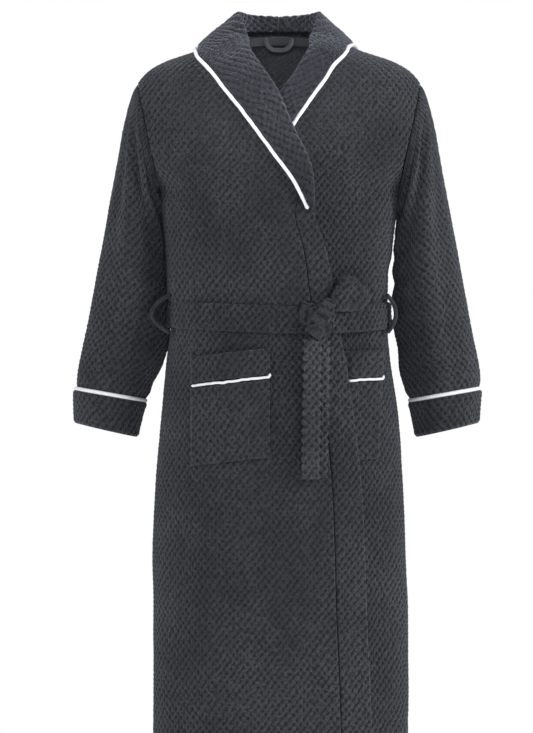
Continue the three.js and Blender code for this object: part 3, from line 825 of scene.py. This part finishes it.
def collar_half(side, word):
    u = np.linspace(0, 1, 400)
    v = np.linspace(0, 1, 120)
    table = collar_middle(side, u, v)
    normals = unit(np.cross(np.gradient(table, axis=0), np.gradient(table, axis=1)))
    outward = -np.sign(normals[len(u) // 2:, len(v) // 2, 1].mean())
    along = lengths_along(table[:, COLLAR_COLUMN])
    reach = np.linalg.norm(np.diff(table, axis=1), axis=-1)
    widths = reach.sum(axis=1)

    lengths = np.linalg.norm(np.diff(table, axis=0), axis=-1)
    down = np.concatenate([np.zeros((1, len(v))), np.cumsum(lengths, axis=0)])
    down = down - down[int(COLLAR_LEVEL * len(u))]
    over = np.concatenate([np.zeros((len(u), 1)), np.cumsum(reach, axis=1)], axis=1)
    cloth_table = np.stack([over, down], axis=-1)

    def read(grid, s, t):
        column = np.clip(s / np.interp(t, along, widths), 0, 1) * (len(v) - LAST_CELL)
        row = np.clip(np.interp(t, along, np.arange(len(u))), 0, len(u) - LAST_CELL)
        return read_grid(grid, row, column)

    def lay(s, t):
        return np.moveaxis(read(cloth_table, s, t), -1, 0)

    def surface(s, t):
        wide = np.interp(t, along, widths)
        normal = unit(read(normals, s, t)) * outward
        points = read(table, s, t)
        soft = 1.2 * noise(points[..., 0] / 45, points[..., 1] / 45, points[..., 2] / 45, 12)
        keep_flat = smoothstep(s / wide, 0.1, 0.3) * smoothstep(1 - s / wide, 0.0, 0.25)
        return points + normal * (COLLAR / 2 + soft * keep_flat)[..., None], normal

    rows = lattice_rows(0.0, float(along[-1]))
    made = cloth_sheet(rows, 0 * rows, np.interp(rows, along, widths), surface, COLLAR, edge=2.8, lay=lay)
    # the collar wears the darker copy of the fleece, which is painted shade
    add_sheet(f"collar_{word}", made, COLLAR_FLEECE_PAINTED_SHADE)


def collar_piping(side, word):
    u = np.linspace(0.0005, 0.988, 240)
    points = collar_middle(side, u, np.array([0.93, 1.0]))
    outward = unit(points[:, 1] - points[:, 0])
    reach = PIPING_RADIUS + LAYER_GAP * 1.2
    path = clear_of_body(side, points[:, 1] + outward * reach, PIPING_RADIUS + LAYER_GAP / 2)
    add_piping(f"collar_piping_{word}", path, 0.35)


def add_piping(name, path, waver, radius=PIPING_RADIUS):
    """A satin cord that wavers a little, as sewn binding does."""
    step = 2.6
    path = resample(path, step)
    along = step * np.arange(len(path))
    drift = [noise(along / 21, 0, k * 7.0, 21) + 0.5 * noise(along / 8, 0, k * 5.0, 22) for k in range(3)]
    path = path + waver * np.stack(drift, axis=1)
    tangent = unit(np.gradient(path, axis=0))
    hint = np.array([0.0, -1.0, 0.15])
    across = unit(np.cross(tangent, np.where(np.abs(tangent[:, 1:2]) > 0.85, [[0, 0, 1.0]], hint[None, :])))
    out = unit(np.cross(across, tangent))
    swell = 1 + 0.06 * noise(np.arange(len(path)) * 0.35, 0, 0, 4)
    points, faces, cloth = sweep(path, across, out, 2 * radius * swell, 2 * radius * swell, 10)
    add_piece(name + "_cord", points, faces, cloth, WHITE_SATIN, "robe", [name])


# ---- Sleeves and cuffs ----
SLEEVE_OUTER = [
    (244, -80), (257, -108), (268, -151), (277, -203), (291, -281), (309, -385), (327, -489), (345, -585),
    (343, -612), (340, -668),
]
SLEEVE_INNER = [
    (207, -264), (206, -276), (205, -292), (203, -312), (200, -345), (198, -410), (200, -492), (216, -606),
    (229, -632), (242, -690),
]
SLEEVE_DEPTH = [75, 79, 80, 79, 76, 72, 67, 61, 58, 54]
SLEEVE_SET_BACK = 18
SLEEVE_SWING = {-1: 9, 1: 1}
SLEEVE_END = 0.985  # shares of the way from the armhole to the hand
CUFF_START = 0.885
CUFF_LIFT = LAYER_GAP + CUFF
TUBE_FILL = 0.95  # a tube's area as a share of its widest turn by its length


def sleeve_seams(v):
    """Points of the sleeve's outer and inner lines at shares v from the armhole to the hand."""
    return [curve_at([(x, 0, z) for x, z in pairs], v) for pairs in (SLEEVE_OUTER, SLEEVE_INNER)]


def sleeve_point(side, v, angle, lift):
    """A point of the sleeve's outer surface, v from the armhole to the hand."""
    flat = np.asarray(v, float).ravel()
    outer, inner = (line.reshape(*np.shape(v), 3) for line in sleeve_seams(flat))
    depth = curve_at([(d, 0, 0) for d in SLEEVE_DEPTH], flat)[:, 0].reshape(np.shape(v)) + lift
    centre, half = (outer + inner) / 2, (outer - inner) / 2
    stretch = 1 + lift / np.linalg.norm(half, axis=-1)
    point = centre + half * (np.cos(angle) * stretch)[..., None]
    y = SLEEVE_SET_BACK * smoothstep(v, 0, 0.5) - np.sin(angle) * depth
    joined = np.maximum(0, 1 - v / 0.12)
    level = np.clip(point[..., 2], ARMPIT[1], SHOULDER_TIP[1])
    armhole = side_angle(level)
    at_hole = np.where(np.sin(angle) > 0, front_depth(level), back_depth(level))
    at_hole = at_hole * np.maximum(np.cos(armhole), 0) ** (2 / SECTION_POWER) + lift
    y = y + joined**2 * (-np.sign(np.sin(angle)) * at_hole - y)
    x = side * (point[..., 0] + SLEEVE_SWING[side] * v * v)
    return stack(x, y, point[..., 2])


def sleeve_table():
    """Distance down the sleeve's middle at even shares v."""
    v = np.linspace(0, 1, 400)
    outer, inner = sleeve_seams(v)
    return v, lengths_along((outer + inner) / 2)


SLEEVE_V, SLEEVE_T = sleeve_table()


def beside_armhole(side, points, wall_gap):
    """The points, moved out where they would be inside the robe's side."""
    z = points[..., 2]
    wall = np.where(z > ARMPIT[1], armhole_x(z) + SEAM_GAP / 2, half_width(np.minimum(z, 0)) + wall_gap)
    x = side * np.maximum(side * points[..., 0], wall)
    return stack(x, points[..., 1], z)


def sleeve_folds(side, v, angle):
    """Long folds that drop from the armhole and drift inwards, soft bulges, and creases inside the elbow."""
    seed = 30 if side > 0 else 40
    loose = smoothstep(v, 0.06, 0.2) * smoothstep(1 - v, 0.03, 0.2)
    long = 3.6 * noise(1.9 * np.cos(angle), 1.9 * np.sin(angle), v * 3.0, seed)
    inside = smoothstep(-np.cos(angle), -0.2, 0.9) * np.exp(-(((v - 0.62) / 0.16) ** 2))
    creases = 2.2 * inside * np.sin(v * 95 + 2.5 * np.sin(angle))
    drift = (v - 0.2) / 0.3
    first, apart = np.radians(51 + 34 * drift), np.radians(39 + 31 * drift)
    turn = np.mod(angle, 2 * np.pi)
    ridge = np.cos(2 * np.pi * (turn - first) / apart)
    ahead = smoothstep(turn, 0.3, 0.8) * smoothstep(3.1 - turn, 0.0, 0.6)
    hanging = 5.2 * ridge * ahead * smoothstep(v, 0.08, 0.22) * smoothstep(0.68 - v, 0.0, 0.3)
    press = 5 * smoothstep(v, 0.19, 0.25) + 12 * smoothstep(v, 0.5, 0.62)
    against_robe = press * smoothstep(0.77 - v, 0, 0.07) * smoothstep(-np.cos(angle), 0.4, 1.0) * (side < 0)
    return loose * (long + creases) + hanging + against_robe


def tube_sheet(side, start, end, columns, lift, thickness, keep=None):
    """A closed tube of fleece round the sleeve, with rounded rims. keep(points) moves points off a wall."""
    top, foot = np.interp([start, end], SLEEVE_V, SLEEVE_T)
    rows = lattice_rows(float(top), float(foot))
    v, turn = np.broadcast_arrays(np.interp(rows, SLEEVE_T, SLEEVE_V)[:, None], turns(columns)[None, :])

    def place(dv, da):
        return sleeve_point(side, np.clip(v + dv, 0, 1), turn + da, lift)

    points = place(0, 0)
    normal = unit(np.cross(place(0.004, 0) - place(-0.004, 0), place(0, 0.02) - place(0, -0.02))) * -side
    t = rows[:, None] + 0 * v
    legs = np.linalg.norm(np.roll(points, -1, axis=1) - points, axis=-1)
    around = np.concatenate([np.zeros((len(rows), 1)), np.cumsum(legs, axis=1)[:, :-1]], axis=1)
    s = np.where(np.arange(columns) < columns // 2, around, around - legs.sum(axis=1, keepdims=True))
    falls = np.linalg.norm(np.diff(points, axis=0), axis=-1)
    down = np.concatenate([np.zeros((1, columns)), np.cumsum(falls, axis=0)])
    down = down - down[-1:]
    bend = thickness / 2 - 0.1
    curl = bend * (1 - rounded(np.clip(np.minimum(t - top, foot - t) / bend, 0, 1)))
    folds = sleeve_folds(side, v, turn)
    away = smoothstep(t - top, *FADE) * smoothstep(foot - t, *FADE)
    s1, t1 = strayed(s, down, side)
    raised = FLEECE_RELIEF * crushed(s, t, side) * nubs(s1, t1) * away
    outer = points + normal * (folds + raised - curl)[..., None]
    inner = points + normal * (folds - thickness + curl)[..., None]
    if keep:
        outer, inner = keep(outer), keep(inner)
    number = np.arange(v.size).reshape(v.shape)
    beside = np.roll(number, -1, axis=1)
    quads = np.stack([number[:-1], number[1:], beside[1:], beside[:-1]], axis=-1).reshape(-1, 4)

    def rim(row):
        a, b = number[row], beside[row]
        return np.stack([a, b, b + v.size, a + v.size], axis=-1)

    faces = np.concatenate([quads, quads[:, ::-1] + v.size, rim(0), rim(-1)[:, ::-1]])
    faces = faces if side < 0 else faces[:, ::-1]
    all_points = np.concatenate([outer.reshape(-1, 3), inner.reshape(-1, 3)])
    cloth = np.concatenate([cloth_place(s1, t1, mask).reshape(-1, 3) for mask in (OUTER_MASK, INNER_MASK)])
    size = (float(legs.sum(axis=1).max()), float(foot - top))
    return all_points, as_faces(faces), cloth, size, size[0] * size[1] * TUBE_FILL


def sleeve(side, word):
    """A sleeve, sewn to the robe at the armhole, kept just outside that seam."""

    def keep(points):
        return beside_armhole(side, points, LAYER_GAP)

    name = f"sleeve_{word}"
    points, faces, cloth, size, area = tube_sheet(side, 0, SLEEVE_END, 152, 0, CLOTH, keep)
    obj = add_piece(name + "_cloth", points, faces, cloth, BODY_FLEECE, None, [name])
    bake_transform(obj)


def cuff(side, word):
    made = tube_sheet(side, CUFF_START, 1, 132, CUFF_LIFT, CUFF)
    add_sheet(f"cuff_{word}", made, BODY_FLEECE, body=f"sleeve_{word}")


def cuff_piping(side, word):
    """A closed ring of cord on the cuff's top edge."""
    stations, corners, lift, radius = 160, 10, 1.0, 3.7
    turn, ring = turns(stations), turns(corners)
    at_cuff = np.full(stations, CUFF_START)
    top = sleeve_point(side, at_cuff, turn, lift)
    above = sleeve_point(side, at_cuff - 0.03, turn, lift)
    path = top + unit(above - top) * radius
    out = unit(path - path.mean(axis=0))
    waver = 0.35 * noise(3 * np.cos(turn), 3 * np.sin(turn), 5.5, 6)
    path = path + out * (sleeve_folds(side, at_cuff, turn) + waver)[:, None]
    tangent = unit(np.roll(path, -1, axis=0) - np.roll(path, 1, axis=0))
    across = unit(np.cross(tangent, out))
    reach = np.cos(ring)[None, :, None] * across[:, None] + np.sin(ring)[None, :, None] * out[:, None]
    points = (path[:, None] + radius * reach).reshape(-1, 3)
    number = np.arange(stations * corners).reshape(stations, corners)
    after, beside = np.roll(number, -1, axis=0), np.roll(number, -1, axis=1)
    quads = np.stack([number, beside, np.roll(beside, -1, axis=0), after], axis=-1).reshape(-1, 4)
    along = np.arange(stations)[:, None] * 2.4
    cloth = cloth_place(ring[None, :] * 3.2, along, NO_NUBS).reshape(-1, 3)
    name = f"cuff_piping_{word}"
    add_piece(name + "_cord", points, as_faces(quads), cloth, WHITE_SATIN, f"sleeve_{word}", [name])


# ---- Patch pockets ----
POCKETS = {
    "right": {"side": -1, "from": -150, "to": -16, "mouth": -545, "gape_at": 0.5, "gape": 11},
    "left": {"side": 1, "from": 45, "to": 178, "mouth": -543, "gape_at": 0.8, "gape": 8},
}
POCKET_SLOPE = math.tan(math.radians(6.6))
POCKET_CLOTH = 4.5


def pocket_point(place, u, down, lift):
    """A point of the pocket's outer face, u across from its left side and down from its mouth."""
    x = place["from"] + (place["to"] - place["from"]) * u
    slope = POCKET_SLOPE if place["side"] < 0 else POCKET_SLOPE / 3
    rise = slope * (x - (place["from"] + place["to"]) / 2)
    across = np.cos(np.pi * np.clip((u - place["gape_at"]) / 0.9, -0.5, 0.5))
    gape = place["gape"] * across**2 * (1 - down / POCKET_HEIGHT)
    reach = np.where((u < 0.6) & (place["side"] > 0), 0, gape)
    return on_front(place["side"], x, place["mouth"] - down + rise, LAYER_GAP + CLOTH + reach + lift)


def pocket_part(word, node, start, end):
    """The part of a pocket's cloth between two depths below its mouth."""
    place = POCKETS[word]
    across = place["to"] - place["from"]
    rows = lattice_rows(start, end)

    def surface(s, t):
        u = s / across
        points = pocket_point(place, u, t, 0)
        right = pocket_point(place, u + 0.01, t, 0) - pocket_point(place, u - 0.01, t, 0)
        down = pocket_point(place, u, t + 1, 0) - pocket_point(place, u, t - 1, 0)
        return points, unit(np.cross(down, right))

    made = cloth_sheet(rows, 0 * rows, 0 * rows + across, surface, thickness=POCKET_CLOTH, edge=2.1)
    add_sheet(node, made, BODY_FLEECE)


def pocket(word):
    slot = PIPING_RADIUS + SEAM_GAP
    pocket_part(word, f"pocket_band_{word}", 0, POCKET_BAND - slot)
    pocket_part(word, f"pocket_{word}", POCKET_BAND + slot, POCKET_HEIGHT)
    u = np.linspace(0.01, 0.99, 60)
    path = pocket_point(POCKETS[word], u, POCKET_BAND, -1.0)
    turned_up_end = path[-1] + np.array([2.0, -0.5, 6.5])
    add_piping(f"pocket_piping_{word}", np.concatenate([path, [turned_up_end]]), 1.0, 2.3)


# ---- Belt ----
def belt_knot_place():
    angle = float(angle_at(KNOT["x"], WAIST_Z))
    y = float(at(-1, KNOT["x"], WAIST_Z)[1]) - LAYER_GAP - KNOT["depth"] / 2
    return angle, y, WAIST_Z - KNOT["drop"]


KNOT_ANGLE, KNOT_Y, KNOT_Z = belt_knot_place()


def belt_waist():
    """The belt's turn round the waist, which starts and ends behind the knot and sags towards it."""
    clear, sag_reach, ply_reach = 0.05, 0.9, 0.7  # angles round the robe from the knot
    turn = np.linspace(clear, 2 * np.pi - clear, 900)
    along = lengths_along(on_body(KNOT_ANGLE + turn, np.full_like(turn, WAIST_Z), BELT_THICKNESS))
    rows = lattice_rows(0, BELT_WIDTH)

    def surface(s, t):
        a = np.interp(s, along, turn)
        from_knot = np.minimum(a, 2 * np.pi - a)
        sag = -KNOT["drop"] * np.exp(-((from_knot / sag_reach) ** 2))
        z = WAIST_Z + BELT_WIDTH / 2 - t + sag + 1.5 * noise(s / 60, 0, 1, 51)
        angle = KNOT_ANGLE + a
        normal = body_normal(angle, z)
        near_knot = np.exp(-((from_knot / ply_reach) ** 2))
        ply = near_knot * (3.4 * smoothstep(t, 13, 17) - 1.2)
        buckle = 2.2 * noise(s / 30, t / 45, 3, 52)
        return body_point(angle, z) + normal * (LAYER_GAP + BELT_THICKNESS + ply + buckle)[..., None], normal

    made = cloth_sheet(rows, 0 * rows, 0 * rows + along[-1], surface, BELT_THICKNESS, 1.7, 2.9)
    add_sheet("belt_waist", made, BELT_FLEECE)


def wrap(controls, widths, thickness):
    """One padded turn of the belt along a smooth path, as (points, faces, cloth, area)."""
    count, taper, step = 40, 7.0, 2.4
    path = resample(curve_at(controls, np.linspace(0, 1, 160)), step)
    across, out = frames_along(path, np.array([0.0, -1.0, 0.0]))
    along = np.linspace(0, 1, len(path))
    width = np.interp(along, np.linspace(0, 1, len(widths)), widths)
    turn = turns(count)
    length = step * np.arange(len(path))
    full = rounded(np.clip(np.minimum(length, length[-1] - length) / taper, 0.03, 1))
    s = (width[:, None] / 2) * np.sin(turn)[None, :]
    t = length[:, None] + 0 * s
    s1, t1 = strayed(s, t, thickness)
    pleats = np.cos(2 * np.pi * (s / 8.5 + 0.5 * noise(s / 20, t / 22, thickness, 78)))
    puff = FLEECE_RELIEF * (0.4 * nubs(s1, t1) + 0.9 * pleats) * full[:, None]
    x, y = np.cos(turn)[None, :], np.sin(turn)[None, :]
    w = (width / 2 * full)[:, None] * signed_power(x, 0.8) + puff * x
    h = (thickness / 2 * full)[:, None] * signed_power(y, 0.8) + puff * y
    rings = path[:, None, :] + across[:, None, :] * w[..., None] + out[:, None, :] * h[..., None]
    points, faces, cloth = ring_mesh(rings, cloth_place(s1, t1, OUTER_MASK))
    return points, faces, cloth, float((width * step).sum())


def joined(parts):
    """Several meshes as one."""
    points, faces, cloth, offset = [], [], [], 0
    for part in parts:
        points.append(part[0])
        faces += [tuple(v + offset for v in face) for face in part[1]]
        cloth.append(part[2])
        offset += len(part[0])
    return np.concatenate(points), faces, np.concatenate(cloth)


def belt_knot():
    """The belt's own end over its other end, one turn round both, and the turn's tail below."""
    y = KNOT_Y
    parts = [
        wrap([(72, y + 8, -460), (73, y + 7, -490), (71, y + 8, -513)], [32, 44, 38], 12),
        wrap([(34, y + 12, -478), (56, y + 5, -481), (76, y + 1, -486), (92, y + 7, -492)],
             [42, 38, 32, 26], 11),
        wrap([(88, y + 9, -456), (82, y - 4, -468), (72, y - 8, -486), (60, y - 3, -503), (52, y + 5, -514)],
             [20, 27, 29, 27, 22], 11),
        wrap([(92, y + 3, -490), (80, y - 5, -500), (68, y - 8, -509), (59, y - 7, -519)],
             [16, 24, 32, 36], 11),
    ]
    points, faces, cloth = joined(parts)
    obj = add_piece("belt_knot_cloth", points, faces, cloth, BELT_FLEECE, "robe", ["belt_knot"])


def belt_bow():
    """The belt's doubled end, pulled up through the knot into a petal."""
    top, bottom = -413.0, -476.0
    left = smooth_through([(top, 108), (-420, 101), (-426, 99), (-433, 93), (-452, 86), (bottom, 80)])
    right = smooth_through([
        (top, 119), (-419, 131), (-425, 134), (-432, 144), (-442, 149), (-450, 153), (-458, 150), (-468, 140),
        (bottom, 124),
    ])
    middle = 115
    rows = lattice_rows(0.0, top - bottom)
    z = top - rows

    def surface(s, t):
        height = top - t
        x = middle + s
        share = (x - left(height)) / (right(height) - left(height))
        rim = np.sin(np.pi * np.clip(share, 0, 1)) ** 0.5
        hollow = np.exp(-(((share - 0.52) / 0.2) ** 2)) * np.exp(-(((height + 447) / 15) ** 2))
        lift = 11 + 8 * rim * smoothstep(t, 0, 16) - 5.5 * hollow + 1.5 * noise(s / 18, t / 18, 0, 77)
        points = on_front(-1, x, height, lift)
        return points, body_normal(angle_at(x, height), height)

    made = cloth_sheet(rows, left(z) - middle, right(z) - middle, surface, thickness=9, edge=4.4, relief=1.2)
    add_sheet("belt_bow", made, BELT_FLEECE)


def belt_tail(node, x, y, shorter):
    """A hanging end of the belt with puffed, scalloped edges, shorter than the full tail by this much."""
    length = TAIL_LENGTH - shorter
    top = KNOT_Z - KNOT["height"] / 2 - 1 - shorter / 2
    rows = lattice_rows(0, length)
    scallop = 2.0 * np.cos(2 * np.pi * rows / NUB_DOWN)
    strip = 8.0  # where the puffed edge strip begins, from the middle
    lean = -4.0 * (rows / length)

    def groove(s, t):
        return 1.7 * np.exp(-(((np.abs(s + 4.0 * t / length) - strip) / 1.2) ** 2))

    def surface(s, t):
        points = stack(x + s, y + 0 * s, top - t)
        bow = 1.6 * (1 - (2 * s / TAIL_WIDTH) ** 2) + 1.0 * noise(s / 30, t / 70, 2, 61)
        points[..., 1] -= bow
        return points, stack(0 * s, -1 + 0 * s, 0 * s)

    left, right = lean - TAIL_WIDTH / 2 - scallop, lean + TAIL_WIDTH / 2 + scallop
    made = cloth_sheet(rows, left, right, surface, BELT_THICKNESS, 1.8, 2.9, hem=groove)
    # the tails wear the lighter copy of the belt fleece, which is painted light
    add_sheet(node, made, TAIL_FLEECE_PAINTED_LIGHT, body=node)


def belt_loop(side, word):
    """A narrow strap that bows out round the belt at the side seam."""
    angle, width, length, thickness, stations = 1.24, 12, 66, 7.5, 60
    stand_off = 35 if side < 0 else 17
    v = np.linspace(0, 1, stations)
    z = WAIST_Z + 2 + length * (0.5 - v)
    root = body_point(np.full(stations, angle), z)
    x = root[:, 0] + 2 * LAYER_GAP + thickness / 2 + stand_off * np.sin(np.pi * v) ** 0.8
    path = stack(side * x, root[:, 1], z)
    across = np.tile([0.0, 1.0, 0.0], (stations, 1))
    tangent = unit(np.gradient(path, axis=0))
    out = unit(np.cross(across, tangent))
    points, faces, cloth = sweep(path, across, out, width, thickness, 16, 3.0)
    name = f"belt_loop_{word}"
    add_piece(name + "_strap", points, faces, cloth, BELT_FLEECE, "robe", [name])


# ---- Inside the back neck ----
TAPE_TOP_Z = 4


def tape_y(x):
    """The back panel's inner face behind the tape."""
    z = -4.0
    angle = np.pi - np.arcsin(x / half_width(z))
    return body_point(angle, np.full_like(angle, z))[..., 1] - CLOTH - 1


def neck_tape():
    """The tape over the back neck seam, which dips towards its ends."""
    half, width, thickness, dip, stations = 52, 14, 1.5, 4, 60
    x = np.linspace(half, -half, stations)
    y = tape_y(x) + thickness / 2
    z = TAPE_TOP_Z - width / 2 - dip * (x / half) ** 2
    path = stack(x, y, z)
    across = np.tile([0.0, 0.0, 1.0], (stations, 1))
    out = unit(np.cross(unit(np.gradient(path, axis=0)), across))
    points, faces, cloth = sweep(path, across, out, width, thickness, 16, 4.0, 2.0)
    add_piece("neck_tape_strip", points, faces, cloth, DARK_TAPE, "robe", ["neck_tape"])


def hanger_loop():
    """A U of folded tape that hangs from the neck tape's middle."""
    reach, drop, corner, width, thickness = 22, 19, 17, 7.5, 3
    right = [(reach, 2)]
    for a in np.linspace(0, np.pi / 2, 14):
        right.append((reach - corner + corner * math.cos(a), -drop + corner - corner * math.sin(a)))
    outline = right + [(-x, z) for x, z in right[::-1]]
    y = float(tape_y(np.array(reach + 2.0))) - LAYER_GAP / 2 - thickness
    path = resample(np.array([(x, y, z) for x, z in outline], float), 1.5)
    out = np.tile([0.0, -1.0, 0.0], (len(path), 1))
    across = unit(np.cross(unit(np.gradient(path, axis=0)), out))
    points, faces, cloth = sweep(path, across, out, width, thickness, 16, 3.0, 1.5)
    add_piece("hanger_loop_strap", points, faces, cloth, LOOP_TAPE, "hanger_loop", ["hanger_loop"])


# ---- Camera, light and floor ----
def add_camera():
    """A long lens, level with the middle of the robe."""
    distance, height_seen, sensor = 9.0, 1.268, 36
    middle_x, middle_z = -0.0216, -0.569
    data = bpy.data.cameras.new("camera")
    data.sensor_width = sensor
    data.lens = sensor * distance / height_seen
    data.clip_end = 100
    camera = bpy.data.objects.new("camera", data)
    bpy.context.scene.collection.objects.link(camera)
    camera.location = (middle_x, -distance, middle_z)
    camera.rotation_euler = (math.pi / 2, 0, 0)
    bpy.context.scene.camera = camera


def add_light(name, place, size, watts, target=(0, 0, -0.55), spread=180):
    data = bpy.data.lights.new(name, "AREA")
    data.shape = "RECTANGLE"
    data.size, data.size_y = size
    data.energy = watts
    data.spread = math.radians(spread)
    light = bpy.data.objects.new(name, data)
    bpy.context.scene.collection.objects.link(light)
    light.location = place
    direction = (np.array(target) - np.array(place)).tolist()
    light.rotation_euler = Vector(direction).to_track_quat("-Z", "Y").to_euler()


def add_stage():
    """A pale round floor, well below the hem."""
    floor_z, radius, count = -1.62, 5.4, 96
    turn = 2 * np.pi * np.arange(count) / count
    points = [(radius * math.cos(a), radius * math.sin(a), floor_z) for a in turn]
    mesh = bpy.data.meshes.new("studio")
    mesh.from_pydata(points, [], [tuple(range(count))])
    n = Nodes("studio_white")
    n.set(Roughness=0.9, Base_Color=(0.9, 0.9, 0.9, 1), Emission_Color=(1, 1, 1, 1), Emission_Strength=0.45)
    mesh.materials.append(n.material)
    floor = bpy.data.objects.new("studio", mesh)
    bpy.context.scene.collection.objects.link(floor)


def add_world():
    """White behind the robe, and a softer white as light on it."""
    as_light, as_seen = 0.26, 1.0
    world = bpy.data.worlds.new("studio_air")
    world.use_nodes = True
    tree = world.node_tree
    seen = tree.nodes.new("ShaderNodeLightPath").outputs["Is Camera Ray"]
    strength = tree.nodes.new("ShaderNodeMapRange")
    strength.inputs["To Min"].default_value = as_light
    strength.inputs["To Max"].default_value = as_seen
    tree.links.new(seen, strength.inputs["Value"])
    background = tree.nodes["Background"]
    background.inputs["Color"].default_value = (1, 1, 1, 1)
    tree.links.new(strength.outputs[0], background.inputs["Strength"])
    bpy.context.scene.world = world
    bpy.context.scene.view_settings.view_transform = "Standard"


add_camera()
add_world()
add_light("right_box", (4.0, -1.9, 0.9), (1.5, 2.4), 170)
add_light("left_box", (-4.0, -1.7, 0.7), (1.5, 2.4), 95)
add_light("front", (0.4, -6.0, 0.5), (1.5, 1.5), 50)
add_light("top", (0.0, 0.8, 3.0), (3.0, 2.0), 40)
add_light("neck", (0.0, -2.6, 0.45), (0.3, 0.3), 0.30, (0, 0.05, -0.05), 8)
add_stage()

back_panel()
for side, word in ((-1, "right"), (1, "left")):
    front_panel(side, word)
    front_band(side, word)
    collar_half(side, word)
    collar_piping(side, word)
    sleeve(side, word)
    cuff(side, word)
    cuff_piping(side, word)
    pocket(word)
    belt_loop(side, word)
belt_waist()
belt_knot()
belt_bow()
belt_tail("belt_tail_front", KNOT["x"] - 15, KNOT_Y - 9.5, 0)
belt_tail("belt_tail_back", KNOT["x"] - 1, KNOT_Y - 1.5, 5)
neck_tape()
hanger_loop()
